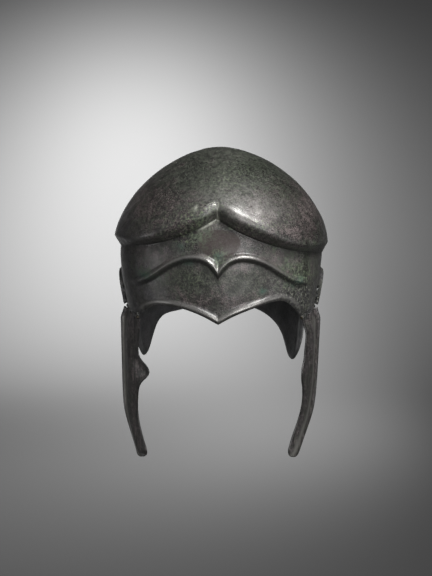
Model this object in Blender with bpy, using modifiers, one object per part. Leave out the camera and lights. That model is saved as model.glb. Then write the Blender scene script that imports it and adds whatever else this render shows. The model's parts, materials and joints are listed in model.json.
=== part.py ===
"""Chalcidian helmet of hammered bronze: skull, two hinged cheekpieces and their two hinge pins.

Tables and sizes are in millimetres and degrees. They use a datum with z = 0 on the hinge axes,
the face looking along -Y and the wearer's left at +X. A root empty then lowers everything so that
the part's origin is the inside of the crown, where a head carries the helmet.
Azimuth 0 is the middle of the brow, 90 the side, and 180 the nape.
"""

import math

import bmesh
import bpy
from mathutils import Matrix, Vector

MM = 0.001
SIDE_NAMES = {1: "left", -1: "right"}  # the wearer's, by the sign of X

# Bronze sheet
WALL = 1.4

# Skull below the crown: half-widths and depths of its level sections, by height
BAND = (  # height, half_width, front, back
    (-75, 79.5, 118.0, 131.0),
    (-60, 81.5, 118.0, 127.0),
    (-45, 83.5, 118.0, 122.0),
    (-30, 85.5, 118.0, 116.5),
    (-15, 87.5, 118.0, 110.5),
    (0, 90.0, 117.5, 107.0),
    (15, 92.7, 117.0, 107.5),
    (30, 95.2, 116.8, 110.5),
    (49, 97.0, 116.0, 113.0),
)
BAND_TOP = 49.0
BAND_RISE = 97.0
BAND_POWER = {"side": 1.8, "end": 1.95}
NECK_LEAN = 3.4  # the neck guard sits this far towards -X at the foot of its lobes
NECK_FOOT = -67.0

# Crown: a wider cap that overhangs the skull along a ledge
CROWN_BASE = 62.0
CROWN_TOP = 152.0
CROWN_HALF_WIDTH = 102.8
CROWN_FRONT = 124.0
CROWN_BACK = 119.0
CROWN_POWER = 1.69

# Ledge: level round the back, rising to a point over the brow
LEDGE = (  # azimuth, height
    (0, 99.4), (9, 91.5), (18, 84.6), (27, 78.7), (37, 73.1), (48, 68.3), (63, 63.0), (74, 59.2),
    (90, 53.6), (110, 51.0), (180, 51.0),
)
LEDGE_TILT = 3.4  # lower by this at the +X side and higher at the -X side
PEAK_ASIDE = -1.2  # the peak of the crease sits this far to the -X side, in degrees
PEAK_SPREAD = 22.0
LEDGE_SIZE = (  # azimuth, depth, swell
    (-4, 12.6, 8.6), (0, 9.8, 9.0), (4, 12.6, 8.6), (10, 12.6, 7.8), (20, 13.8, 5.8),
    (28, 12.6, 4.8), (36, 9.8, 3.7), (46, 8.4, 2.6), (58, 8.8, 1.5), (80, 11.5, 0.0),
    (180, 12.0, 0.0),
)
LEDGE_PROFILE = (  # share of depth, share of overhang
    (0, 0.0), (0.12, 0.15), (0.5, 0.57), (0.78, 0.89), (0.9, 0.975), (1, 1.0),
)
SWELL_FADE = (98.0, 152.0)  # heights over which the swell of the crown's front dies out
VALLEY_WIDTH = 8.0
VALLEY_DEPTH = 0.25
VALLEY_FADE = (6.0, 13.0)

# Eyebrow ridge: two arches that meet in a point
EYEBROW = (  # azimuth, height
    (0, 45.5), (3.5, 53.5), (7.5, 59.0), (13, 61.0), (20, 58.8), (27, 53.0), (34, 45.2),
    (42, 37.5), (53, 31.0), (64, 29.0), (78, 34.0), (90, 43.0), (98, 44.5), (106, 42.0),
    (122, 24.0), (150, 14.0), (180, 14.0),
)
EYEBROW_HEIGHT = 3.3
BEAK_GAIN = 0.5  # the ridge stands higher by this share where the arches meet
BEAK_SPREAD = 6.5
EYEBROW_FOOT = 4.4
EYEBROW_SLOPE = 9.2
EYEBROW_ROWS = (-0.2, 4.2, 6.4, 9.2)
EYEBROW_ENDS = (48.0, 63.0)

# Lower edge of the skull, one side
BROW_EDGE = (  # azimuth, height
    (0, 4.6), (8, 11.4), (16, 16.2), (23, 18.9), (30, 20.2), (38, 19.2), (44, 15.6), (50, 9.6),
    (57, 2.3),
)
BROW_LIFT = 2.6  # the eye arch is higher by this at +X and lower at -X
BROW_LIFT_AT = 38.0
BROW_LIFT_SPREAD = 13.0
LOBE_LIFT = 13.0  # behind its tip the wearer's right lobe is cut higher by this
LOBE_LIFT_AT = 131.0
LOBE_LIFT_SPREAD = 15.0
EAR_WIDER = 5.0  # the wearer's left ear opening reaches further back by this
EAR_WIDER_FROM = (103.0, 107.0)
EAR_WIDER_TO = (110.0, 116.0)
EAR_WIDER_DOWN = (-25.0, -60.0)
HINGE_ENDS = (57.0, 88.0)
HINGE_EDGE_END = 86.0
HINGE_GAP = 2.3
EAR_AND_NECK_EDGE = (  # azimuth, height
    (86, 2.3), (88, 1.0), (88.4, 5), (88.4, 13), (89.5, 22), (93, 29.5), (98, 32), (103, 29.5),
    (106, 22), (107, 10), (107.2, -10), (107.4, -30), (108, -46), (109.5, -58), (112.5, -66),
    (116.5, -68.5), (121, -66), (126, -58), (131, -49), (138, -40), (148, -32), (160, -26.5),
    (180, -23),
)
LOBE_TIP = 0.535  # share of that edge's length at the tip of the lobe
LEDGE_OVER_BROW = (0.0, 54.0)  # azimuths where the columns from each edge meet the ledge
LEDGE_OVER_HINGE = (54.0, 81.5)
LEDGE_OVER_NECK = (  # share of that edge's length, azimuth
    (0, 81.5), (0.09, 88), (0.2, 108), (0.52, 129), (1, 180),
)
EDGE_COUNTS = (10, 5, 28)
LOWER_ROWS = 2
UPPER_ROWS = 2
LEDGE_ROWS = 3
DOME_ROWS = 6

# Hem: the worked strip along the edge
HEM = (0.0, 1.7, 3.4, 5.2, 7.0)
HEM_AT_LOBE = 0.6
BEAD_HEIGHT = 2.6
BEAD_ENDS = (50.0, 56.0)
BEAD_THINS = (20.0, 42.0)
BEAD_THIN_SHARE = 0.5
FLANGE_HEIGHT = 4.2
FLANGE_STARTS = (86.2, 87.8)  # clear of the cheekpiece as that swings up
FLANGE_WIDTH = 5.0
NECK_RIM_HEIGHT = 1.5
NECK_RIM_STARTS = (0.42, 0.535)  # shares of the ear and neck edge, from flange to plain rim
MM_PER_DEGREE = 1.8

# Cheekpiece, in its hinge's own directions: along the axis from its front end, and down
CHEEK_LENGTH = 55.5
CHEEK_TIP = -139.5
CHEEK_FRONT = (  # height, along
    (-2.3, 0.0), (-15, 2.5), (-30, 6.0), (-38, 6.5), (-43, 4.0), (-47, -0.5), (-51, -3.6),
    (-55, -3.4), (-61, 1.0), (-72, 8.0), (-85, 13.0), (-97, 14.5), (-110, 12.0), (-122, 7.0),
    (-131, 3.0), (-135.5, 4.0), (-138.3, 6.6), (-139.5, 10.6),
)
CHEEK_REAR = (  # height, along
    (-2.3, 55.5), (-20, 55.2), (-40, 55.0), (-60, 54.6), (-80, 53.0), (-97, 49.5), (-110, 44.5),
    (-122, 37.5), (-131, 29.5), (-135.5, 24.0), (-138.3, 18.8), (-139.5, 13.6),
)
CHEEK_CORNER = {"left": 8.0, "right": 0.0}  # cut off the front corner at the hinge
CHEEK_CORNER_END = (-8.0, -38.0)
CHEEK_ROWS = 22
CHEEK_COLUMNS = 9
CHEEK_LIP = 3.6  # the rear edge flares outward
CHEEK_LIP_WIDTH = 6.0
LIP_RISE = 1.0  # the lip stands clear of the barrel, so it can reach up beside it
LIP_RISE_FROM = (2.3, 3.2)
CHEEK_BULGE = 2.2
CHEEK_CURL = (  # height, left, right: inward, most at the front of the tip
    (-68, 0.0, 0.0), (-85, 1.8, 0.4), (-102, 4.9, 1.1), (-118, 8.2, 3.0), (-131, 9.4, 4.9),
    (-139.5, 9.0, 6.0),
)
CUSP_AT = -53.0
CUSP_SPREAD = 9.0
CUSP_BEND = {"left": -2.0, "right": 7.0}  # inward
FRONT_BEND = {"left": 4.0, "right": 0.0}  # outward
REAR_BEND = {"left": 3.6, "right": 3.8}  # outward
TIP_WIDTH = 20.0  # the bends across the plate don't narrow below this at the tip
REST_SWING = {"left": -2.4, "right": -0.8}  # outward swing at rest, in degrees

# Hinge
AXIS_OUT = 1.2
BARREL_RADIUS = 1.9
BARREL_SIDES = 12
BORE_RADIUS = 1.1
PIN_RADIUS = 0.75
PIN_HEAD = (1.5, 0.8)  # radius, thickness
KNUCKLES = (  # start, end, carrier
    (1.0, 11.0, "shell"), (11.5, 21.5, "cheek"), (22.0, 33.0, "shell"), (33.5, 43.5, "cheek"),
    (44.0, 54.0, "shell"),
)
KNUCKLE_WAY = {"shell": 1, "cheek": -1}
WEB_DEPTH = 4.6
WEB_THICKNESS = 1.6

# Materials: colour, roughness, metallic
BRONZE = ((0.075, 0.068, 0.058, 1.0), 0.38, 1.0)
PIN_BRONZE = ((0.17, 0.13, 0.08, 1.0), 0.45, 1.0)


def smooth_table(rows, x, column=1):
    """Value of a column at x, on a smooth curve through the rows."""
    if rows[0][0] > rows[-1][0]:
        rows = rows[::-1]
    keys = [row[0] for row in rows]
    values = [row[column] for row in rows]
    x = min(max(x, keys[0]), keys[-1])
    i = max(k for k in range(len(keys) - 1) if keys[k] <= x)

    def slope(k):
        low, high = max(k - 1, 0), min(k + 1, len(keys) - 1)
        return (values[high] - values[low]) / (keys[high] - keys[low])

    step = keys[i + 1] - keys[i]
    t = (x - keys[i]) / step
    rise = values[i + 1] - values[i]
    start = slope(i) * step
    end = slope(i + 1) * step
    return values[i] + t * (start + t * (3 * rise - 2 * start - end + t * (start + end - 2 * rise)))


def smooth_step(x, low, high):
    t = min(max((x - low) / (high - low), 0.0), 1.0)
    return t * t * (3 - 2 * t)


def superellipse(t, power):
    return max(1 - min(max(t, 0.0), 1.0) ** power, 0.0) ** (1 / power)


# ---------------------------------------------------------------- skull surface


def ledge_height(azimuth):
    """Height of the crease, whose peak sits a little aside from the middle of the brow."""
    aside = abs(azimuth - PEAK_ASIDE * math.exp(-((azimuth / PEAK_SPREAD) ** 2)))
    return smooth_table(LEDGE, aside) - LEDGE_TILT * math.sin(math.radians(azimuth))


def ledge_depth(azimuth):
    """Rise from the crease to the shoulder, which peaks at the middle of the brow."""
    middle = smooth_table(LEDGE, abs(azimuth)) - LEDGE_TILT * math.sin(math.radians(azimuth))
    return smooth_table(LEDGE_SIZE, abs(azimuth)) + middle - ledge_height(azimuth)


def ledge_share(azimuth, z):
    """0 below the crease, 1 above the shoulder."""
    over = min(max((z - ledge_height(azimuth)) / ledge_depth(azimuth), 0.0), 1.0)
    return smooth_table(LEDGE_PROFILE, over)


def band_radii(z):
    low = min(z, BAND_TOP)
    t = (z - BAND_TOP) / BAND_RISE
    side = superellipse(t, BAND_POWER["side"])
    end = superellipse(t, BAND_POWER["end"])
    return (
        smooth_table(BAND, low, 1) * side,
        smooth_table(BAND, low, 2) * end,
        smooth_table(BAND, low, 3) * end,
    )


def crown_radii(z):
    share = superellipse((z - CROWN_BASE) / (CROWN_TOP - CROWN_BASE), CROWN_POWER)
    return CROWN_HALF_WIDTH * share, CROWN_FRONT * share, CROWN_BACK * share


def skull_point(azimuth, z):
    """Outer surface of the skull without its worked edge and ridge."""
    angle = math.radians(azimuth)
    share = ledge_share(azimuth, z)
    side, front, back = (
        low + (high - low) * share for low, high in zip(band_radii(z), crown_radii(z))
    )
    lean = NECK_LEAN * min(max(z / NECK_FOOT, 0.0), 1.0)
    depth = front if math.cos(angle) > 0 else back
    return Vector((side * math.sin(angle) - lean, -depth * math.cos(angle), z))


def skull_normal(azimuth, z):
    step = 0.2
    round_it = skull_point(azimuth + step, z) - skull_point(azimuth - step, z)
    up_it = skull_point(azimuth, z + step) - skull_point(azimuth, z - step)
    return round_it.cross(up_it).normalized()


def eyebrow_slant(azimuth):
    """Vertical distance for each millimetre square to the ridge."""
    low, high = max(azimuth - 0.5, 0.0), azimuth + 0.5
    rise = smooth_table(EYEBROW, high) - smooth_table(EYEBROW, low)
    return math.hypot(rise / ((high - low) * MM_PER_DEGREE), 1.0)


def eyebrow_relief(azimuth, z):
    reach = abs(azimuth)
    above = (z - smooth_table(EYEBROW, reach)) / eyebrow_slant(reach)
    fade = 1 - smooth_step(reach, *EYEBROW_ENDS)
    fade *= 1 + BEAK_GAIN * math.exp(-((azimuth / BEAK_SPREAD) ** 2))
    if above < EYEBROW_FOOT:
        return EYEBROW_HEIGHT * fade * smooth_step(above, 0.0, EYEBROW_FOOT)
    return EYEBROW_HEIGHT * fade * (1 - smooth_step(above, EYEBROW_FOOT, EYEBROW_SLOPE))


def swell_relief(azimuth, z):
    """The crown's front swells over its crease on both sides of a valley at the peak."""
    away = abs(azimuth)
    above = z - ledge_height(azimuth)
    valley = max(1 - away / VALLEY_WIDTH, 0.0) * (1 - smooth_step(above, *VALLEY_FADE))
    swell = smooth_table(LEDGE_SIZE, away, 2) * (1 - VALLEY_DEPTH * valley)
    return swell * ledge_share(azimuth, z) * (1 - smooth_step(z, *SWELL_FADE))


# ---------------------------------------------------------------- skull edge


def chain_point(rows, share):
    """Point at a share of the length of a smooth curve through (azimuth, height) rows."""
    lengths = [0.0]
    for first, second in zip(rows, rows[1:]):
        across = (second[0] - first[0]) * MM_PER_DEGREE
        lengths.append(lengths[-1] + math.hypot(across, second[1] - first[1]))
    at = share * lengths[-1]
    return tuple(
        smooth_table([(length, row[k]) for length, row in zip(lengths, rows)], at) for k in (0, 1)
    )


def bead_share(azimuth):
    """The bead is full at the brow's point, thinner over the eyes and gone at the hinge."""
    thin = 1 - BEAD_THIN_SHARE * smooth_step(azimuth, *BEAD_THINS)
    return thin * (1 - smooth_step(azimuth, *BEAD_ENDS))


def edge_points(side, counts):
    """One side's lower edge from brow to nape, with each point's place on the ledge and its hem."""
    points = []
    hinge_edge = ((HINGE_ENDS[0], HINGE_GAP), (HINGE_EDGE_END, HINGE_GAP))
    chains = (BROW_EDGE, hinge_edge, EAR_AND_NECK_EDGE)
    ledges = (
        tuple(zip((0, 1), LEDGE_OVER_BROW)), tuple(zip((0, 1), LEDGE_OVER_HINGE)), LEDGE_OVER_NECK
    )
    for index, (rows, count) in enumerate(zip(chains, counts)):
        for step in range(count):
            share = step / count
            lobe = math.exp(-(((share - LOBE_TIP) / 0.08) ** 2)) if index == 2 else 0.0
            azimuth, z = chain_point(rows, share)
            neck = smooth_step(share, *NECK_RIM_STARTS) if index == 2 else 0.0
            if index == 0:
                spread = (azimuth - BROW_LIFT_AT) / BROW_LIFT_SPREAD
                z += side * BROW_LIFT * math.exp(-spread * spread)
            if side > 0 and index == 2:
                wider = smooth_step(azimuth, *EAR_WIDER_FROM)
                wider *= 1 - smooth_step(azimuth, *EAR_WIDER_TO)
                wider *= 1 - smooth_step(-z, -EAR_WIDER_DOWN[0], -EAR_WIDER_DOWN[1])
                azimuth += EAR_WIDER * wider
            if side < 0:
                spread = (azimuth - LOBE_LIFT_AT) / LOBE_LIFT_SPREAD
                z += LOBE_LIFT * math.exp(-spread * spread)
            ledge = smooth_table(ledges[index], share)
            points.append(
                {
                    "azimuth": azimuth,
                    "z": z,
                    "ledge": ledge,
                    "bead": bead_share(azimuth),
                    "flange": smooth_step(azimuth, *FLANGE_STARTS) * (1 - neck),
                    "neck": neck,
                    "hem": 1 - (1 - HEM_AT_LOBE) * lobe,
                }
            )
    return points


def whole_edge(counts):
    right = edge_points(1, counts)
    left = edge_points(-1, counts)
    nape = dict(right[-1])
    nape.update(azimuth=180.0, z=EAR_AND_NECK_EDGE[-1][1], ledge=180.0)
    mirrored = [dict(p, azimuth=360 - p["azimuth"], ledge=360 - p["ledge"]) for p in left[1:]]
    return right + [nape] + mirrored[::-1]


def edge_normals(edge, reach=9.0):
    """Direction into the sheet at each edge point, averaged over a short reach of the edge."""
    flat = [Vector((p["azimuth"] * MM_PER_DEGREE, p["z"])) for p in edge]
    turn = 360 * MM_PER_DEGREE
    count = len(flat)
    normals = []
    for i in range(count):
        total = Vector((0.0, 0.0))
        for way in (-1, 1):
            here, k, gone = flat[i], i, 0.0
            while gone < reach:
                k += way
                there = flat[k % count] + Vector((turn * (k // count), 0.0))
                run = there - here
                gone += run.length
                along = run * way
                total += Vector((-along.y, along.x)) * max(0.0, 1 - (gone - run.length) / reach)
                here = there
        normals.append(total.normalized())
    return normals


def line_up(first, last, count):
    """The points between two ends, without the first."""
    return [first + (last - first) * (k / count) for k in range(1, count + 1)]


def skull_column(point, normal):
    """Rows of (azimuth, height, distance from the edge), from the edge up to below the pole."""
    start = Vector((point["azimuth"] * MM_PER_DEGREE, point["z"]))
    rows = [start + normal * (reach * point["hem"]) for reach in HEM]
    reaches = list(HEM)
    azimuth = point["ledge"]
    signed = azimuth if azimuth <= 180 else azimuth - 360
    along = azimuth * MM_PER_DEGREE
    slant = eyebrow_slant(abs(signed)) * (1 - 0.75 * smooth_step(abs(signed), 62, 84))
    ridge = smooth_table(EYEBROW, abs(signed))
    ledge = ledge_height(signed)
    rows += line_up(rows[-1], Vector((along, ridge + EYEBROW_ROWS[0] * slant)), LOWER_ROWS)
    rows += [Vector((along, ridge + above * slant)) for above in EYEBROW_ROWS[1:]]
    rows += line_up(rows[-1], Vector((along, ledge)), UPPER_ROWS)
    shoulder = ledge + ledge_depth(signed)
    rows += line_up(rows[-1], Vector((along, shoulder)), LEDGE_ROWS)
    low = math.asin((shoulder - CROWN_BASE) / (CROWN_TOP - CROWN_BASE))
    for row in range(1, DOME_ROWS):
        turn = low + (math.pi / 2 - low) * row / DOME_ROWS
        height = CROWN_BASE + (CROWN_TOP - CROWN_BASE) * math.sin(turn)
        rows.append(Vector((along, height)))
    reaches += [HEM[-1]] * (len(rows) - len(HEM))
    return [(row.x / MM_PER_DEGREE, row.y, reach) for row, reach in zip(rows, reaches)]


def edge_relief(point, reach):
    """How far the worked edge stands out from the sheet at a distance from the edge itself."""
    bead = BEAD_HEIGHT * math.sin(math.pi * min(reach / HEM[-1], 1.0) ** 0.95) * point["bead"]
    turn = max(1 - reach / FLANGE_WIDTH, 0.0) ** 2
    return bead + turn * (FLANGE_HEIGHT * point["flange"] + NECK_RIM_HEIGHT * point["neck"])


def skull_lines():
    edge = whole_edge(EDGE_COUNTS)
    columns = []
    for point, normal in zip(edge, edge_normals(edge)):
        column = []
        for azimuth, z, reach in skull_column(point, normal):
            signed = azimuth if azimuth <= 180 else azimuth - 360
            relief = edge_relief(point, reach) + eyebrow_relief(signed, z) + swell_relief(signed, z)
            column.append(skull_point(signed, z) + skull_normal(signed, z) * relief)
        columns.append(column)
    return columns


# ---------------------------------------------------------------- hinge directions


def hinge_frame(side):
    """Front end of the hinge axis, and the directions along it and outward from the head."""
    front, rear = (skull_point(side * azimuth, 0.0) for azimuth in HINGE_ENDS)
    along = (rear - front).normalized()
    outward = Vector((along.y, -along.x, 0.0)) * side
    return front + outward * AXIS_OUT, along, outward


def skull_outward(side, w):
    """How far the skull's outer face stands out from the hinge axis, at a place along it."""
    origin, along, outward = hinge_frame(side)
    low, high = HINGE_ENDS[0] - 2, HINGE_ENDS[1] + 2
    for _ in range(30):
        middle = (low + high) / 2
        if (skull_point(side * middle, 0.0) - origin).dot(along) < w:
            low = middle
        else:
            high = middle
    return (skull_point(side * low, 0.0) - origin).dot(outward)


# ---------------------------------------------------------------- cheekpiece surface


def cheek_outward(side, w, z):
    """How far the cheekpiece's outer face stands out from the hinge axis."""
    down = min(max(z / CHEEK_TIP, 0.0), 1.0)
    rear = smooth_table(CHEEK_REAR, z)
    front = smooth_table(CHEEK_FRONT, z)
    top = skull_outward(side, min(max(w, 0.0), CHEEK_LENGTH))
    width = max(rear - front, TIP_WIDTH)
    forward = min(max(0.5 + ((rear + front) / 2 - w) / width, 0.0), 1.0)
    bow = top * (0.8 if top > 0 else 1.0)
    bow += CHEEK_BULGE * math.sin(math.pi * forward) * smooth_step(down, 0.02, 0.25)
    bow += FRONT_BEND[SIDE_NAMES[side]] * forward**2 * smooth_step(down, 0.035, 0.14)
    spread = smooth_step(down, 0.0, 0.09) * (1 - smooth_step(down, 0.7, 1.0))
    bow += REAR_BEND[SIDE_NAMES[side]] * (1 - forward) * spread
    lip = max(1 - (rear - w) / CHEEK_LIP_WIDTH, 0.0) ** 2
    lip *= CHEEK_LIP * (1 - smooth_step(down, 0.60, 1.0))
    curl = smooth_table(CHEEK_CURL, z, 1 if side > 0 else 2) * (0.15 + 0.85 * forward)
    cusp = math.exp(-(((z - CUSP_AT) / CUSP_SPREAD) ** 2)) * smooth_step(forward, 0.55, 1.0)
    bend = CUSP_BEND[SIDE_NAMES[side]] * cusp
    return bow + lip - curl - bend


def cheek_grid(side):
    """Rows of points from the top edge to the tip, in the cheekpiece's own hinge directions."""
    top, tip = CHEEK_FRONT[0][0], CHEEK_TIP
    rows = []
    for step in range(CHEEK_ROWS + 1):
        z = top + (tip - top) * math.sin(step / CHEEK_ROWS * math.pi / 2) ** 1.15
        corner = CHEEK_CORNER[SIDE_NAMES[side]]
        corner *= 1 - smooth_step(-z, -CHEEK_CORNER_END[0], -CHEEK_CORNER_END[1])
        front = smooth_table(CHEEK_FRONT, z) + corner
        rear = smooth_table(CHEEK_REAR, z)
        row = []
        for column in range(CHEEK_COLUMNS + 1):
            share = 1 - (1 - column / CHEEK_COLUMNS) ** 1.3
            w = front + (rear - front) * share
            out = cheek_outward(side, w, z)
            lift = LIP_RISE * smooth_step(out, *LIP_RISE_FROM) if step == 0 else 0.0
            row.append(Vector((w, -side * out, z + lift)))
        rows.append(row)
    return rows


# ---------------------------------------------------------------- building objects


def metal(name, settings):
    colour, roughness, metallic = settings
    material = bpy.data.materials.new(name)
    material.use_nodes = True
    shader = material.node_tree.nodes["Principled BSDF"]
    shader.inputs["Base Color"].default_value = colour
    shader.inputs["Roughness"].default_value = roughness
    shader.inputs["Metallic"].default_value = metallic
    material.diffuse_color = colour
    return material


def new_object(name, mesh, collection, material=None, parent=None):
    obj = bpy.data.objects.new(name, mesh)
    collection.objects.link(obj)
    obj.parent = parent
    if material:
        mesh.materials.append(material)
    return obj


def grid_mesh(name, lines, closed=False, flip=False, pole=None):
    """An open sheet through equal lines of points. A closed one joins its last line to its first."""
    sheet = bmesh.new()
    grid = [[sheet.verts.new(point * MM) for point in line] for line in lines]
    top = sheet.verts.new(pole * MM) if pole else None
    pairs = list(zip(grid, grid[1:] + grid[:1])) if closed else list(zip(grid, grid[1:]))
    for line, following in pairs:
        for k in range(len(line) - 1):
            corners = [line[k], following[k], following[k + 1], line[k + 1]]
            sheet.faces.new(corners[::-1] if flip else corners)
        if top:
            sheet.faces.new([line[-1], following[-1], top])
    mesh = bpy.data.meshes.new(name)
    sheet.to_mesh(mesh)
    sheet.free()
    mesh.shade_smooth()
    return mesh


def thicken(obj):
    wall = obj.modifiers.new("wall", "SOLIDIFY")
    wall.thickness = WALL * MM
    wall.offset = -1.0
    wall.use_even_offset = True
    wall.use_quality_normals = True


def hinge_matrix(side, swing=0.0):
    """Hinge space: x along the axis from its front end, z up, y across."""
    origin, along, _ = hinge_frame(side)
    across = Vector((0.0, 0.0, 1.0)).cross(along)
    turn = Matrix((along, across, (0.0, 0.0, 1.0))).transposed().to_4x4()
    return (
        Matrix.Translation(origin * MM) @ turn
        @ Matrix.Rotation(math.radians(-side * swing), 4, "X")
    )


def knuckle(name, start, end, way, web_centre):
    """A barrel round the axis, with a web that rises (way 1) or hangs (way -1) from it."""
    low, high = web_centre - WEB_THICKNESS / 2, web_centre + WEB_THICKNESS / 2
    first = math.acos(max(min(high / BARREL_RADIUS, 1.0), -1.0))
    last = math.acos(max(min(low / BARREL_RADIUS, 1.0), -1.0))
    outline = []
    for k in range(BARREL_SIDES + 1):
        angle = last + (2 * math.pi - (last - first)) * k / BARREL_SIDES
        outline.append((BARREL_RADIUS * math.cos(angle), BARREL_RADIUS * math.sin(angle)))
    outline += [(high, WEB_DEPTH), (low, WEB_DEPTH)]
    body = bmesh.new()
    corners = [body.verts.new(Vector((start, y, way * z)) * MM) for y, z in outline]
    face = body.faces.new(corners)
    pushed = bmesh.ops.extrude_face_region(body, geom=[face])
    moved = [item for item in pushed["geom"] if isinstance(item, bmesh.types.BMVert)]
    bmesh.ops.translate(body, vec=Vector((end - start, 0.0, 0.0)) * MM, verts=moved)
    bmesh.ops.recalc_face_normals(body, faces=body.faces)
    mesh = bpy.data.meshes.new(name)
    body.to_mesh(mesh)
    body.free()
    return mesh


def boolean(obj, tool, operation):
    tool.hide_render = True
    tool.display_type = "WIRE"
    change = obj.modifiers.new(tool.name, "BOOLEAN")
    change.object = tool
    change.operation = operation
    change.solver = "EXACT"


def add_bore(obj, name, tools, parent, matrix):
    bpy.ops.mesh.primitive_cylinder_add(
        vertices=BARREL_SIDES, radius=BORE_RADIUS * MM, depth=(CHEEK_LENGTH + 10) * MM
    )
    tool = bpy.context.object
    tool.name = name
    for collection in tool.users_collection:
        collection.objects.unlink(tool)
    tools.objects.link(tool)
    tool.parent = parent
    middle = Matrix.Translation((CHEEK_LENGTH / 2 * MM, 0.0, 0.0))
    tool.matrix_local = matrix @ middle @ Matrix.Rotation(math.pi / 2, 4, "Y")
    boolean(obj, tool, "DIFFERENCE")


def add_knuckles(obj, carrier, side, tools, parent, matrix):
    name = SIDE_NAMES[side]
    for number, (start, end, owner) in enumerate(KNUCKLES):
        if owner != carrier:
            continue
        out = skull_outward(side, (start + end) / 2) - WALL / 2
        centre = max(min(out, BARREL_RADIUS - WEB_THICKNESS / 2), WEB_THICKNESS / 2 - BARREL_RADIUS)
        mesh = knuckle(f"knuckle_{name}{number}", start, end, KNUCKLE_WAY[carrier], -side * centre)
        tool = new_object(f"knuckle_{name}{number}", mesh, tools, parent=parent)
        tool.matrix_local = matrix
        boolean(obj, tool, "UNION")


def add_pin(side, collection, material, parent):
    """A turned pin with a peened head at each end."""
    first, last = KNUCKLES[0][0] - 0.35, KNUCKLES[-1][1] + 0.35
    head_radius, head = PIN_HEAD
    profile = (
        (0.0, last + head), (head_radius * 0.7, last + head), (head_radius, last + head * 0.5),
        (head_radius, last), (PIN_RADIUS, last), (PIN_RADIUS, first), (head_radius, first),
        (head_radius, first - head * 0.5), (head_radius * 0.7, first - head), (0.0, first - head),
    )
    mesh = bpy.data.meshes.new("hinge_pin")
    points = [Vector((radius, 0.0, along)) * MM for radius, along in profile]
    mesh.from_pydata(points, [(k, k + 1) for k in range(len(points) - 1)], [])
    pin = new_object(f"hinge_pin_{SIDE_NAMES[side]}", mesh, collection, material, parent)
    turned = pin.modifiers.new("turned", "SCREW")
    turned.axis = "Z"
    turned.steps = turned.render_steps = 12
    turned.use_merge_vertices = True
    turned.merge_threshold = 0.00001
    pin.matrix_local = hinge_matrix(side) @ Matrix.Rotation(math.pi / 2, 4, "Y")


def build():
    for obj in list(bpy.data.objects):
        bpy.data.objects.remove(obj, do_unlink=True)
    helmet = bpy.data.collections.new("chalcidian_helmet")
    tools = bpy.data.collections.new("hinge_tools")
    bpy.context.scene.collection.children.link(helmet)
    bpy.context.scene.collection.children.link(tools)
    bronze = metal("bronze", BRONZE)
    pin_bronze = metal("pin_bronze", PIN_BRONZE)

    root = bpy.data.objects.new("head_seat", None)
    helmet.objects.link(root)
    root.location = (0.0, 0.0, (WALL - CROWN_TOP) * MM)

    pole = Vector((0.0, 0.0, CROWN_TOP))
    mesh = grid_mesh("shell", skull_lines(), closed=True, pole=pole)
    shell = new_object("shell", mesh, helmet, bronze, root)
    thicken(shell)
    for side in (-1, 1):
        name = SIDE_NAMES[side]
        still = hinge_matrix(side)
        add_knuckles(shell, "shell", side, tools, root, still)
        add_bore(shell, f"bore_shell_{name}", tools, root, still)

        mesh = grid_mesh(f"cheekpiece_{name}", cheek_grid(side), flip=side > 0)
        cheek = new_object(f"cheekpiece_{name}", mesh, helmet, bronze, root)
        swung = hinge_matrix(side, REST_SWING[name])
        cheek.matrix_local = swung
        thicken(cheek)
        add_knuckles(cheek, "cheek", side, tools, root, swung)
        add_bore(cheek, f"bore_cheek_{name}", tools, root, swung)
        add_pin(side, helmet, pin_bronze, root)


build()
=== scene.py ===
"""Chalcidian helmet of patinated bronze in a plain studio.

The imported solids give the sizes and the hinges. This script puts a fine hammered skin over the
skull and the two cheekpieces, rolls the hinge knuckles, and gives every surface its bronze.
Lengths are millimetres and angles degrees unless a comment says otherwise. Heights are measured from
the hinge axes, and azimuth 0 is the middle of the brow, 90 the wearer's left and 180 the nape.
"""

import json
import math

import bpy
import numpy as np
from mathutils import Matrix, Vector, noise


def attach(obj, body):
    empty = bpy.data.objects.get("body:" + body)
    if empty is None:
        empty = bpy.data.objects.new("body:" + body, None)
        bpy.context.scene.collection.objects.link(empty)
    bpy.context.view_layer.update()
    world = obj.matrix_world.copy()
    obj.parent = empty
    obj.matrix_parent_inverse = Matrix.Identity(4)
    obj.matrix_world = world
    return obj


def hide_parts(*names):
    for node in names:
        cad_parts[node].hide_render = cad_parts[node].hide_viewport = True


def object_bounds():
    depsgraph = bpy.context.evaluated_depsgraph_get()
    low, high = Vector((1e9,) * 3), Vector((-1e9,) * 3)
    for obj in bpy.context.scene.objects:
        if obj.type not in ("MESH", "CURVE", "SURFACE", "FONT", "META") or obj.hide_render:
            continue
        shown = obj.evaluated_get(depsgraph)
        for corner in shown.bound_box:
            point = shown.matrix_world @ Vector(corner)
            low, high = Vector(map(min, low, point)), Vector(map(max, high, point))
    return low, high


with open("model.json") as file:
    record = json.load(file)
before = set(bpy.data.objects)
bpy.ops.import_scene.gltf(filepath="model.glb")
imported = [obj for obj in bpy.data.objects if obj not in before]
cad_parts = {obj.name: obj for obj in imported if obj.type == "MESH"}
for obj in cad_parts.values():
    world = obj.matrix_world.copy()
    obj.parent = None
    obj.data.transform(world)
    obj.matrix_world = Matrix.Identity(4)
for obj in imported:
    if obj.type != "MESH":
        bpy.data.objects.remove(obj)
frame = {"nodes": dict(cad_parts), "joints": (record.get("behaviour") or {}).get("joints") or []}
cad_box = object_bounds()

MM = 0.001
SIDES = {"left": 1, "right": -1}  # the wearer's, by the sign of X
HINGE_HEIGHT = frame["joints"][0]["pos_m"][2]  # in metres, in the frame
WALL = 1.4

# ---- shape, as the solids have it

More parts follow.
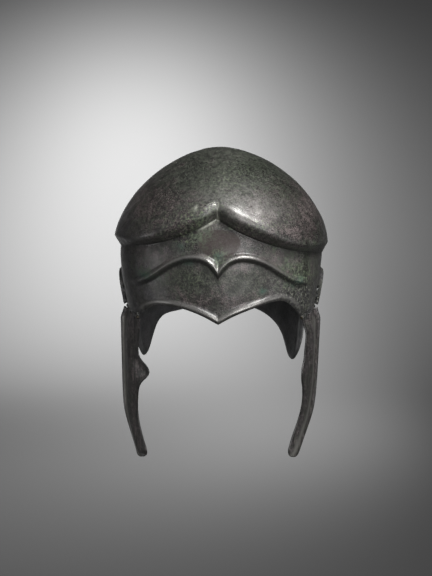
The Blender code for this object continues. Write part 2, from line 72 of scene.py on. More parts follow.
BAND = (  # height, half_width, front, back
    (-75, 79.5, 118.0, 131.0), (-60, 81.5, 118.0, 127.0), (-45, 83.5, 118.0, 122.0),
    (-30, 85.5, 118.0, 116.5), (-15, 87.5, 118.0, 110.5), (0, 90.0, 117.5, 107.0),
    (15, 92.7, 117.0, 107.5), (30, 95.2, 116.8, 110.5), (49, 97.0, 116.0, 113.0),
)
BAND_TOP = 49.0
BAND_RISE = 97.0
BAND_POWERS = (1.8, 1.95, 1.95)  # of its half width, front and back
NECK_LEAN = 3.4  # the neck guard's foot sits this far towards -X
NECK_FOOT = -67.0
CROWN_BASE = 62.0
CROWN_TOP = 152.0
CROWN_HALF_WIDTH = 102.8
CROWN_FRONT = 124.0
CROWN_BACK = 119.0
CROWN_POWER = 1.69
LEDGE = (  # azimuth, height
    (0, 99.4), (9, 91.5), (18, 84.6), (27, 78.7), (37, 73.1), (48, 68.3), (63, 63.0), (74, 59.2),
    (90, 53.6), (110, 51.0), (180, 51.0),
)
LEDGE_TILT = 3.4  # lower by this at the +X side and higher at the -X side
PEAK_ASIDE = -1.2  # azimuth of the crease's peak
PEAK_SPREAD = 22.0
LEDGE_SIZE = (  # azimuth, depth, swell
    (-4, 12.6, 8.6), (0, 9.8, 9.0), (4, 12.6, 8.6), (10, 12.6, 7.8), (20, 13.8, 5.8),
    (28, 12.6, 4.8), (36, 9.8, 3.7), (46, 8.4, 2.6), (58, 8.8, 1.5), (80, 11.5, 0.0),
    (180, 12.0, 0.0),
)
LEDGE_PROFILE = (  # share of depth, share of overhang
    (0, 0.0), (0.12, 0.15), (0.5, 0.57), (0.78, 0.89), (0.9, 0.975), (1, 1.0),
)
SWELL_FADE = (98.0, 152.0)
VALLEY_WIDTH = 8.0
VALLEY_DEPTH = 0.25
VALLEY_FADE = (6.0, 13.0)
EYEBROW = (  # azimuth, height
    (0, 45.5), (3.5, 53.5), (7.5, 59.0), (13, 61.0), (20, 58.8), (27, 53.0), (34, 45.2),
    (42, 37.5), (53, 31.0), (64, 29.0), (78, 34.0), (90, 43.0), (98, 44.5), (106, 42.0),
    (122, 24.0), (150, 14.0), (180, 14.0),
)
EYEBROW_HEIGHT = 3.3
BEAK_GAIN = 0.5  # the ridge stands higher by this share where the arches meet
BEAK_SPREAD = 6.5
EYEBROW_FOOT = 4.4
EYEBROW_SLOPE = 9.2
EYEBROW_ENDS = (48.0, 63.0)
BROW_EDGE = (  # azimuth, height
    (0, 4.6), (8, 11.4), (16, 16.2), (23, 18.9), (30, 20.2), (38, 19.2), (44, 15.6), (50, 9.6),
    (57, 2.3),
)
BROW_LIFT = 2.6  # the eye arch is higher by this at +X and lower at -X
BROW_LIFT_AT = 38.0
BROW_LIFT_SPREAD = 13.0
LOBE_LIFT = 13.0  # behind its tip the wearer's right lobe is cut higher by this
LOBE_LIFT_AT = 131.0
LOBE_LIFT_SPREAD = 15.0
EAR_WIDER = 5.0  # on the left, at the back of the ear opening
EAR_WIDER_RUN = (103.0, 107.0, 110.0, 116.0)
EAR_WIDER_DOWN = (25.0, 60.0)  # below the hinge axes
HINGE_ENDS = (57.0, 88.0)
HINGE_EDGE_END = 86.0
HINGE_GAP = 2.3
HINGE_MARGIN = 2.0
HINGE_SAMPLES = 200
EAR_AND_NECK_EDGE = (  # azimuth, height
    (86, 2.3), (88, 1.0), (88.4, 5), (88.4, 13), (89.5, 22), (93, 29.5), (98, 32), (103, 29.5),
    (106, 22), (107, 10), (107.2, -10), (107.4, -30), (108, -46), (109.5, -58), (112.5, -66),
    (116.5, -68.5), (121, -66), (126, -58), (131, -49), (138, -40), (148, -32), (160, -26.5),
    (180, -23),
)
LOBE_TIP = 0.535  # share of that edge's length at the tip of the lobe
LOBE_TIP_SPREAD = 0.08
LEDGE_OVER_EDGES = (  # share of the length of the brow, hinge and neck edge, azimuth at the ledge
    ((0, 0.0), (1, 54.0)),
    ((0, 54.0), (1, 81.5)),
    ((0, 81.5), (0.09, 88), (0.2, 108), (0.52, 129), (1, 180)),
)
HEM_WIDTH = 7.0
HEM_AT_LOBE = 0.6
BEAD_HEIGHT = 2.6
BEAD_ENDS = (50.0, 56.0)
BEAD_THINS = (20.0, 42.0)
BEAD_THIN_SHARE = 0.5
FLANGE_HEIGHT = 4.2
FLANGE_STARTS = (86.2, 87.8)
FLANGE_WIDTH = 5.0
NECK_RIM_HEIGHT = 1.5
NECK_RIM_STARTS = (0.42, 0.535)
MM_PER_DEGREE = 1.8
SLANT_EASE = (0.75, 62.0, 84.0)  # share of the ridge's slant that goes between two azimuths
BEAD_LEAN = 0.95

CHEEK_LENGTH = 55.5
CHEEK_TIP = -139.5
CHEEK_FRONT = (  # height, along
    (-2.3, 0.0), (-15, 2.5), (-30, 6.0), (-38, 6.5), (-43, 4.0), (-47, -0.5), (-51, -3.6),
    (-55, -3.4), (-61, 1.0), (-72, 8.0), (-85, 13.0), (-97, 14.5), (-110, 12.0), (-122, 7.0),
    (-131, 3.0), (-135.5, 4.0), (-138.3, 6.6), (-139.5, 10.6),
)
CHEEK_REAR = (  # height, along
    (-2.3, 55.5), (-20, 55.2), (-40, 55.0), (-60, 54.6), (-80, 53.0), (-97, 49.5), (-110, 44.5),
    (-122, 37.5), (-131, 29.5), (-135.5, 24.0), (-138.3, 18.8), (-139.5, 13.6),
)
CHEEK_CORNER = {"left": 8.0, "right": 0.0}  # cut off the front corner at the hinge
CHEEK_CORNER_END = (8.0, 38.0)  # below the hinge axis
CHEEK_LIP = 3.6
CHEEK_LIP_WIDTH = 6.0
LIP_RISE = 1.0
LIP_RISE_FROM = (2.3, 3.2)
LIP_RISE_DEPTH = 4.0
CHEEK_BULGE = 2.2
CHEEK_CURL = (  # height, left, right
    (-68, 0.0, 0.0), (-85, 1.8, 0.4), (-102, 4.9, 1.1), (-118, 8.2, 3.0), (-131, 9.4, 4.9),
    (-139.5, 9.0, 6.0),
)
CUSP_AT = -53.0
CUSP_SPREAD = 9.0
CUSP_BEND = {"left": -2.0, "right": 7.0}
FRONT_BEND = {"left": 4.0, "right": 0.0}
REAR_BEND = {"left": 3.6, "right": 3.8}
TIP_WIDTH = 20.0
REST_SWING = {"left": -2.4, "right": -0.8}
BOW_SHARE = 0.8  # of the skull's bow, where that stands out from the hinge axis
# Shares of the cheekpiece's height, from the hinge down
BULGE_STARTS = (0.02, 0.25)
FRONT_BEND_STARTS = (0.035, 0.14)
REAR_BEND_RUN = (0.0, 0.09, 0.7, 1.0)
LIP_FADE = (0.60, 1.0)
CURL_AT_REAR = 0.15  # share of the front's curl
CUSP_STARTS = (0.55, 1.0)  # share of the width, from the rear edge

AXIS_OUT = 1.2
BARREL_RADIUS = 1.9
KNUCKLES = (  # start, end, carrier
    (1.0, 11.0, "shell"), (11.5, 21.5, "cheek"), (22.0, 33.0, "shell"), (33.5, 43.5, "cheek"),
    (44.0, 54.0, "shell"),
)
KNUCKLE_WAY = {"shell": 1, "cheek": -1}
WEB_DEPTH = 4.6
WEB_THICKNESS = 1.6

# Fineness of the skin
EDGE_COUNTS = (66, 30, 116)
HEM_ROWS = 11
LOWER_ROWS = 22
EYEBROW_ROWS = (-0.2, 0.5, 1.1, 1.7, 2.3, 2.9, 3.5, 4.1, 4.6, 5.1, 5.7, 6.4, 7.2, 8.1, 9.2)
UPPER_ROWS = 18
LEDGE_ROWS = 16
DOME_ROWS = 58
CHEEK_ROWS = 130
CHEEK_COLUMNS = 36
HEM_CROWDING = 1.25  # rows and columns crowd towards an edge by these powers
CHEEK_CROWDING = 1.15
INSIDE_STEP = 2  # the inside has every second row and column
EDGE_ROUNDING = 0.32  # how far a sheet's edge bulges, as a share of its thickness
BARREL_SIDES = 20
BARREL_CHAMFER = 0.3
BARREL_END = 0.86  # size of a barrel's end, as a share of its middle
SHARP_ANGLE = 40.0


def smooth_table(rows, x, column=1):
    """Values of a column at x, on a smooth curve through the rows."""
    rows = sorted(rows)
    keys = np.array([row[0] for row in rows], float)
    values = np.array([row[column] for row in rows], float)
    x = np.clip(x, keys[0], keys[-1])
    ends = np.arange(len(keys))
    low, high = np.maximum(ends - 1, 0), np.minimum(ends + 1, len(keys) - 1)
    slopes = (values[high] - values[low]) / (keys[high] - keys[low])
    i = np.clip(np.searchsorted(keys, x, side="right") - 1, 0, len(keys) - 2)
    step = keys[i + 1] - keys[i]
    t = (x - keys[i]) / step
    rise = values[i + 1] - values[i]
    start = slopes[i] * step
    end = slopes[i + 1] * step
    return values[i] + t * (start + t * (3 * rise - 2 * start - end + t * (start + end - 2 * rise)))


def smooth_step(x, low, high):
    t = np.clip((np.asarray(x, float) - low) / (high - low), 0, 1)
    return t * t * (3 - 2 * t)


def run(x, start, full, fade, end):
    """0 up to the start, 1 from full to fade, and 0 again from the end."""
    return smooth_step(x, start, full) * (1 - smooth_step(x, fade, end))


def peak(x, middle, spread):
    """1 at the middle, dying away smoothly on both sides."""
    return np.exp(-(((x - middle) / spread) ** 2))


def superellipse(t, power):
    return np.maximum(1 - np.clip(t, 0, 1) ** power, 0) ** (1 / power)


def unit(vectors):
    return vectors / np.maximum(np.linalg.norm(vectors, axis=-1, keepdims=True), 1e-12)


# ---- skull surface


def ledge_height(azimuth, aside=PEAK_ASIDE):
    """Height of the crease, whose peak sits a little aside from the middle of the brow."""
    away = np.abs(azimuth - aside * peak(azimuth, 0, PEAK_SPREAD))
    return smooth_table(LEDGE, away) - LEDGE_TILT * np.sin(np.radians(azimuth))


def ledge_depth(azimuth):
    """Rise from the crease to the shoulder, which peaks at the middle of the brow."""
    depth = smooth_table(LEDGE_SIZE, np.abs(azimuth))
    return depth + ledge_height(azimuth, 0) - ledge_height(azimuth)


def ledge_share(azimuth, z):
    """0 below the crease, 1 above the shoulder."""
    over = np.clip((z - ledge_height(azimuth)) / ledge_depth(azimuth), 0, 1)
    return smooth_table(LEDGE_PROFILE, over)


def band_radii(z):
    low = np.minimum(z, BAND_TOP)
    t = (z - BAND_TOP) / BAND_RISE
    return [smooth_table(BAND, low, k + 1) * superellipse(t, BAND_POWERS[k]) for k in range(3)]


def crown_radii(z):
    share = superellipse((z - CROWN_BASE) / (CROWN_TOP - CROWN_BASE), CROWN_POWER)
    return CROWN_HALF_WIDTH * share, CROWN_FRONT * share, CROWN_BACK * share


def skull_points(azimuth, z):
    """Outer surface of the skull without its worked edge and ridge."""
    azimuth, z = np.broadcast_arrays(np.asarray(azimuth, float), np.asarray(z, float))
    angle = np.radians(azimuth)
    share = ledge_share(azimuth, z)
    side, front, back = (
        low + (high - low) * share for low, high in zip(band_radii(z), crown_radii(z))
    )
    lean = NECK_LEAN * np.clip(z / NECK_FOOT, 0, 1)
    depth = np.where(np.cos(angle) > 0, front, back)
    return np.stack([side * np.sin(angle) - lean, -depth * np.cos(angle), z], -1)


def skull_normals(azimuth, z, step=0.2):
    round_it = skull_points(azimuth + step, z) - skull_points(azimuth - step, z)
    up_it = skull_points(azimuth, z + step) - skull_points(azimuth, z - step)
    return unit(np.cross(round_it, up_it))


def eyebrow_slant(azimuth):
    """Vertical distance for each millimetre square to the ridge."""
    low, high = np.maximum(azimuth - 0.5, 0.0), azimuth + 0.5
    rise = smooth_table(EYEBROW, high) - smooth_table(EYEBROW, low)
    return np.hypot(rise / ((high - low) * MM_PER_DEGREE), 1.0)


def above_eyebrow(azimuth, z):
    reach = np.abs(azimuth)
    return (z - smooth_table(EYEBROW, reach)) / eyebrow_slant(reach)


def eyebrow_relief(azimuth, z):
    above = above_eyebrow(azimuth, z)
    fade = 1 - smooth_step(np.abs(azimuth), *EYEBROW_ENDS)
    fade = fade * (1 + BEAK_GAIN * peak(azimuth, 0, BEAK_SPREAD))
    rise = smooth_step(above, 0.0, EYEBROW_FOOT)
    fall = 1 - smooth_step(above, EYEBROW_FOOT, EYEBROW_SLOPE)
    return EYEBROW_HEIGHT * fade * np.where(above < EYEBROW_FOOT, rise, fall)


def swell_relief(azimuth, z):
    """The crown's front swells over its crease on both sides of a valley at the peak."""
    away = np.abs(azimuth)
    above = z - ledge_height(azimuth)
    valley = np.maximum(1 - away / VALLEY_WIDTH, 0.0) * (1 - smooth_step(above, *VALLEY_FADE))
    swell = smooth_table(LEDGE_SIZE, away, 2) * (1 - VALLEY_DEPTH * valley)
    return swell * ledge_share(azimuth, z) * (1 - smooth_step(z, *SWELL_FADE))


# ---- skull edge


def chain_points(rows, share):
    """Points at shares of the length of a smooth curve through (azimuth, height) rows."""
    lengths = [0.0]
    for first, second in zip(rows, rows[1:]):
        across = (second[0] - first[0]) * MM_PER_DEGREE
        lengths.append(lengths[-1] + math.hypot(across, second[1] - first[1]))
    at = share * lengths[-1]
    return tuple(
        smooth_table([(length, row[k]) for length, row in zip(lengths, rows)], at) for k in (0, 1)
    )


def bead_share(azimuth):
    """The bead is full at the brow's point, thinner over the eyes and gone at the hinge."""
    thin = 1 - BEAD_THIN_SHARE * smooth_step(azimuth, *BEAD_THINS)
    return thin * (1 - smooth_step(azimuth, *BEAD_ENDS))


def edge_half(side):
    """One side's lower edge from brow to nape, as columns of values."""
    hinge_edge = ((HINGE_ENDS[0], HINGE_GAP), (HINGE_EDGE_END, HINGE_GAP))
    chains = (BROW_EDGE, hinge_edge, EAR_AND_NECK_EDGE)
    parts = []
    for index, (rows, ledge, count) in enumerate(zip(chains, LEDGE_OVER_EDGES, EDGE_COUNTS)):
        share = np.arange(count) / count
        azimuth, z = chain_points(rows, share)
        behind = float(index == 2)
        neck = behind * smooth_step(share, *NECK_RIM_STARTS)
        if index == 0:
            z = z + side * BROW_LIFT * peak(azimuth, BROW_LIFT_AT, BROW_LIFT_SPREAD)
        if side > 0 and index == 2:
            wider = run(azimuth, *EAR_WIDER_RUN) * (1 - smooth_step(-z, *EAR_WIDER_DOWN))
            azimuth = azimuth + EAR_WIDER * wider
        if side < 0:
            z = z + LOBE_LIFT * peak(azimuth, LOBE_LIFT_AT, LOBE_LIFT_SPREAD)
        lobe = behind * peak(share, LOBE_TIP, LOBE_TIP_SPREAD)
        parts.append({
            "azimuth": azimuth, "z": z, "ledge": smooth_table(ledge, share),
            "bead": bead_share(azimuth), "neck": neck, "hem": 1 - (1 - HEM_AT_LOBE) * lobe,
            "flange": smooth_step(azimuth, *FLANGE_STARTS) * (1 - neck),
        })
    return {key: np.concatenate([part[key] for part in parts]) for key in parts[0]}


def whole_edge():
    """The skull's lower edge all the way round, from the middle of the brow by the left side."""
    left, right = edge_half(1), edge_half(-1)
    nape = {key: values[-1:] for key, values in left.items()}
    nape = {**nape, "azimuth": [180.0], "z": [EAR_AND_NECK_EDGE[-1][1]], "ledge": [180.0]}
    right["azimuth"] = 360 - right["azimuth"]
    right["ledge"] = 360 - right["ledge"]
    return {key: np.concatenate([left[key], nape[key], right[key][:0:-1]]) for key in left}


def edge_normals(edge, reach=9.0):
    """Direction into the sheet at each edge point, averaged over a short reach of the edge."""
    flat = np.stack([edge["azimuth"] * MM_PER_DEGREE, edge["z"]], -1)
    turn = np.array([360 * MM_PER_DEGREE, 0.0])
    ring = np.concatenate([flat - turn, flat, flat + turn])
    count = len(flat)
    normals = np.zeros_like(flat)
    for i in range(count, 2 * count):
        total = np.zeros(2)
        for way in (-1, 1):
            k, gone = i, 0.0
            while gone < reach:
                step = ring[k + way] - ring[k]
                total += np.array([-step[1], step[0]]) * way * (1 - gone / reach)
                gone += np.linalg.norm(step)
                k += way
        normals[i - count] = total / np.linalg.norm(total)
    return normals


def line_up(first, last, count):
    """The points between two columns of points, without the first."""
    steps = (np.arange(count) + 1)[:, None, None] / count
    return first + (last - first) * steps


def skull_grid():
    """Azimuth, height and distance from the edge for every row and column, and the edge itself."""
    edge = whole_edge()
    start = np.stack([edge["azimuth"] * MM_PER_DEGREE, edge["z"]], -1)
    normals = edge_normals(edge)
    reaches = HEM_WIDTH * (np.arange(HEM_ROWS) / (HEM_ROWS - 1)) ** HEM_CROWDING
    rows = [start + normals * (reach * edge["hem"])[:, None] for reach in reaches]
    signed = np.where(edge["ledge"] <= 180, edge["ledge"], edge["ledge"] - 360)
    along = edge["ledge"] * MM_PER_DEGREE
    away = np.abs(signed)
    ease, *ease_ends = SLANT_EASE
    slant = eyebrow_slant(away) * (1 - ease * smooth_step(away, *ease_ends))
    ridge = smooth_table(EYEBROW, away)
    ledge = ledge_height(signed)
    shoulder = ledge + ledge_depth(signed)

    def row_at(height):
        return np.stack([along, height], -1)

    rows += list(line_up(rows[-1], row_at(ridge + EYEBROW_ROWS[0] * slant), LOWER_ROWS))
    rows += [row_at(ridge + above * slant) for above in EYEBROW_ROWS[1:]]
    rows += list(line_up(rows[-1], row_at(ledge), UPPER_ROWS))
    rows += list(line_up(rows[-1], row_at(shoulder), LEDGE_ROWS))
    low = np.arcsin((shoulder - CROWN_BASE) / (CROWN_TOP - CROWN_BASE))
    for row in range(1, DOME_ROWS):
        turn = low + (math.pi / 2 - low) * row / DOME_ROWS
        rows.append(row_at(CROWN_BASE + (CROWN_TOP - CROWN_BASE) * np.sin(turn)))
    flat = np.array(rows)
    reach = np.concatenate([reaches, np.full(len(rows) - HEM_ROWS, HEM_WIDTH)])
    azimuth = flat[..., 0] / MM_PER_DEGREE
    azimuth = np.where(azimuth <= 180, azimuth, azimuth - 360)
    return azimuth, flat[..., 1], reach[:, None] + 0 * azimuth, edge


def edge_relief(edge, reach):
    """How far the worked edge stands out from the sheet at a distance from the edge itself."""
    share = np.clip(reach / HEM_WIDTH, 0, 1)
    bead = BEAD_HEIGHT * np.sin(math.pi * share**BEAD_LEAN) * edge["bead"]
    turn = np.maximum(1 - reach / FLANGE_WIDTH, 0.0) ** 2
    return bead + turn * (FLANGE_HEIGHT * edge["flange"] + NECK_RIM_HEIGHT * edge["neck"])


# ---- hinge and cheekpiece


def hinge_frame(side):
    """Front end of the hinge axis, and the directions along it and outward from the head."""
    front, rear = (skull_points(side * azimuth, 0.0) for azimuth in HINGE_ENDS)
    along = unit(rear - front)
    outward = np.array([along[1], -along[0], 0.0]) * side
    return front + outward * AXIS_OUT, along, outward


def skull_outward(side, w):
    """How far the skull's outer face stands out from the hinge axis, at places along it."""
    origin, along, outward = hinge_frame(side)
    first, last = HINGE_ENDS[0] - HINGE_MARGIN, HINGE_ENDS[1] + HINGE_MARGIN
    azimuths = np.linspace(first, last, HINGE_SAMPLES)
    points = skull_points(side * azimuths, 0.0) - origin
    return np.interp(w, points @ along, points @ outward)


def cheek_outward(name, w, z):
    """How far the cheekpiece's outer face stands out from the hinge axis."""
    side = SIDES[name]
    down = np.clip(z / CHEEK_TIP, 0, 1)
    rear = smooth_table(CHEEK_REAR, z)
    front = smooth_table(CHEEK_FRONT, z)
    top = skull_outward(side, np.clip(w, 0, CHEEK_LENGTH))
    forward = np.clip(0.5 + ((rear + front) / 2 - w) / np.maximum(rear - front, TIP_WIDTH), 0, 1)
    bow = top * np.where(top > 0, BOW_SHARE, 1.0)
    bow = bow + CHEEK_BULGE * np.sin(math.pi * forward) * smooth_step(down, *BULGE_STARTS)
    bow = bow + FRONT_BEND[name] * forward**2 * smooth_step(down, *FRONT_BEND_STARTS)
    bow = bow + REAR_BEND[name] * (1 - forward) * run(down, *REAR_BEND_RUN)
    lip = np.maximum(1 - (rear - w) / CHEEK_LIP_WIDTH, 0.0) ** 2
    lip = lip * CHEEK_LIP * (1 - smooth_step(down, *LIP_FADE))
    curl = smooth_table(CHEEK_CURL, z, 1 if name == "left" else 2)
    curl = curl * (CURL_AT_REAR + (1 - CURL_AT_REAR) * forward)
    cusp = peak(z, CUSP_AT, CUSP_SPREAD) * smooth_step(forward, *CUSP_STARTS)
    return bow + lip - curl - CUSP_BEND[name] * cusp


def cheek_grid(name):
    """Rows of points from the top edge to the tip, in the cheekpiece's own hinge directions."""
    side = SIDES[name]
    top = CHEEK_FRONT[0][0]
    step = np.arange(CHEEK_ROWS + 1) / CHEEK_ROWS
    z = top + (CHEEK_TIP - top) * np.sin(step * math.pi / 2) ** CHEEK_CROWDING
    share = 1 - (1 - np.arange(CHEEK_COLUMNS + 1) / CHEEK_COLUMNS) ** CHEEK_CROWDING
    z, share = np.meshgrid(z, share, indexing="ij")
    corner = CHEEK_CORNER[name] * (1 - smooth_step(-z, *CHEEK_CORNER_END))
    front = smooth_table(CHEEK_FRONT, z) + corner
    rear = smooth_table(CHEEK_REAR, z)
    w = front + (rear - front) * share
    out = cheek_outward(name, w, z)
    lift = LIP_RISE * smooth_step(out[0], *LIP_RISE_FROM)
    near = np.clip(1 - (top - z) / LIP_RISE_DEPTH, 0, 1)
    return np.stack([w, -side * out, z + lift * near], -1)


def hinge_matrix(name, swing):
    """Hinge space in metres: x along the axis from its front end, z up, y across."""
    side = SIDES[name]
    origin, along = hinge_frame(side)[:2]
    across = np.cross([0.0, 0.0, 1.0], along)
    turn = Matrix((along.tolist(), across.tolist(), (0.0, 0.0, 1.0))).transposed().to_4x4()
    place = Matrix.Translation(Vector(origin) * MM + Vector((0, 0, HINGE_HEIGHT)))
    return place @ turn @ Matrix.Rotation(math.radians(-side * swing), 4, "X")


# ---- meshes


def add_object(name, data):
    obj = bpy.data.objects.new(name, data)
    bpy.context.scene.collection.objects.link(obj)
    return obj


def smooth_mesh(name, points, faces):
    mesh = bpy.data.meshes.new(name)
    mesh.from_pydata(points, [], faces)
    mesh.shade_smooth()
    return mesh


def grid_normals(points, closed):
    """Outward normals of a grid of rows and columns."""
    if closed:
        across = np.roll(points, -1, 1) - np.roll(points, 1, 1)
    else:
        across = np.gradient(points, axis=1)
    return unit(np.cross(across, np.gradient(points, axis=0)))


def numbered(points, start=0):
    """The number of each point of a grid."""
    return start + np.arange(points[..., 0].size).reshape(points.shape[:2])


def loop(at, closed):
    """Border of a grid from its first corner on. A closed grid has only its first row."""
    if closed:
        return at[0]
    return np.concatenate([at[0, :-1], at[:-1, -1], at[-1, :0:-1], at[:0:-1, 0]])


def quads(at, closed, reverse):
    """Faces of a grid of point numbers."""
    if closed:
        at = np.concatenate([at, at[:, :1]], 1)
    found = np.stack([at[:-1, :-1], at[:-1, 1:], at[1:, 1:], at[1:, :-1]], -1).reshape(-1, 4)
    return (found[:, ::-1] if reverse else found).tolist()


def picks(count, closed):
    """Every second row or column, and the last one of an open grid."""
    found = np.arange(0, count, INSIDE_STEP)
    return found if closed else np.unique(np.append(found, count - 1))


def border_outward(points, closed):
    """Unit vectors that leave the sheet in its own plane, round its border."""
    if closed:
        return unit(points[0] - points[1])
    inward = np.zeros_like(points)
    inward[0] += points[1] - points[0]
    inward[-1] += points[-2] - points[-1]
    inward[:, 0] += unit(points[:, 1] - points[:, 0]) * MM
    inward[:, -1] += unit(points[:, -2] - points[:, -1]) * MM
    return -unit(inward.reshape(-1, 3)[loop(numbered(points), closed)])


def zip_border(fine, coarse, places, flip):
    """Triangles between a fine loop and a coarse one, whose points lie at places of the fine."""
    faces = []
    count = len(fine)
    ends = [*places[1:], places[0] + count]
    for here, there, start, end in zip(coarse, [*coarse[1:], coarse[0]], places, ends):
        middle = (start + end) // 2
        for k in range(start, end):
            faces.append([fine[k % count], here if k < middle else there, fine[(k + 1) % count]])
        faces.append([fine[middle % count], here, there])
    return [face[::-1] for face in faces] if flip else faces


def sheet_object(name, outer, marks, closed=False, pole=None, flip=False):
    """A closed sheet: fine outside, coarser inside, with a rounded edge. Points are metres."""
    normals = grid_normals(outer, closed) * (-1 if flip else 1)
    inner = outer - normals * WALL * MM
    picked = np.ix_(picks(outer.shape[0], False), picks(outer.shape[1], closed))
    inside = inner[picked]
    out_at = numbered(outer)
    in_at = numbered(inside, out_at.size)
    faces = quads(out_at, closed, flip) + quads(in_at, closed, not flip)

    border = loop(out_at, closed)
    flat, flat_inner = outer.reshape(-1, 3), inner.reshape(-1, 3)
    rounding = border_outward(outer, closed) * (WALL * EDGE_ROUNDING * MM)
    middle = (flat[border] + flat_inner[border]) / 2 + rounding
    mid_at = out_at.size + in_at.size + np.arange(len(border))
    points = np.concatenate([flat, inside.reshape(-1, 3), middle])
    strip = np.stack([border, mid_at, np.roll(mid_at, -1), np.roll(border, -1)], -1)
    faces += (strip[:, ::-1] if flip else strip).tolist()
    places = {at: k for k, at in enumerate(border.tolist())}
    starts = [places[at] for at in loop(out_at[picked], closed).tolist()]
    faces += zip_border(mid_at.tolist(), loop(in_at, closed).tolist(), starts, flip)

    if pole is not None:
        top_out, top_in = len(points), len(points) + 1
        points = np.concatenate([points, [pole, pole - np.array([0, 0, WALL * MM])]])
        ring, inner_ring = (at[-1].tolist() for at in (out_at, in_at))
        faces += [[a, b, top_out] for a, b in zip(ring, ring[1:] + ring[:1])]
        faces += [[b, a, top_in] for a, b in zip(inner_ring, inner_ring[1:] + inner_ring[:1])]
    mesh = smooth_mesh(name, points.tolist(), faces)
    for key, value in {"inside": np.zeros(out_at.shape), **marks}.items():
        given = np.zeros(len(points), np.float32)
        given[out_at] = value
        given[in_at] = 1.0 if key == "inside" else value[picked]
        given[mid_at] = value.ravel()[border]
        mesh.attributes.new(key, "FLOAT", "POINT").data.foreach_set("value", given)
    return add_object(name, mesh)


def barrel_object(name, places, way, matrix, side):
    """Knuckles: sheet rolled round the pin, each with a web that runs into the edge beside it."""
    points, faces = [], []
    limit = BARREL_RADIUS - WEB_THICKNESS / 2
    for start, end in places:
        out = float(skull_outward(side, (start + end) / 2)) - WALL / 2
        centre = -side * max(min(out, limit), -limit)
        low, high = centre - WEB_THICKNESS / 2, centre + WEB_THICKNESS / 2
        first, last = (math.acos(np.clip(y / BARREL_RADIUS, -1, 1)) for y in (high, low))
        outline = []
        for k in range(BARREL_SIDES + 1):
            angle = last + (2 * math.pi - (last - first)) * k / BARREL_SIDES
            outline.append((BARREL_RADIUS * math.cos(angle), BARREL_RADIUS * math.sin(angle)))
        outline += [(high, WEB_DEPTH), (low, WEB_DEPTH)]
        inset = BARREL_CHAMFER
        rings = ((start, BARREL_END), (start + inset, 1), (end - inset, 1), (end, BARREL_END))
        at = len(points) + np.arange(len(rings) * len(outline)).reshape(len(rings), -1)
        for along, shrink in rings:
            for y, z in outline:
                points.append(matrix @ (Vector((along, y * shrink, way * z * shrink)) * MM))
        faces += [*quads(at, True, False), at[0, ::-1].tolist(), at[-1].tolist()]
    mesh = smooth_mesh(name, points, faces)
    mesh.set_sharp_from_angle(angle=math.radians(SHARP_ANGLE))
    return add_object(name, mesh)


# ---- wear and dirt


def fractal(points, size, octaves, seed, amount):
    """Soft noise at points in millimetres, with features of about that size."""
    flat = points.reshape(-1, 3) / size + seed
    found = [noise.fractal(Vector(point), NOISE_FALL, NOISE_STEP, octaves) for point in flat]
    return np.array(found).reshape(points.shape[:-1]) * amount


def spots(points, rows):
    """Soft-edged places on the front, from a table of them."""
    total = np.zeros(points.shape[:-1])
    for across, height, half_width, half_height, amount in rows:
        u = (points[..., 0] - across) / half_width
        v = (points[..., 2] - height) / half_height
        total = total + amount * np.exp(-(u * u + v * v)) * (points[..., 1] < 0)
    return np.clip(total, 0, 1)


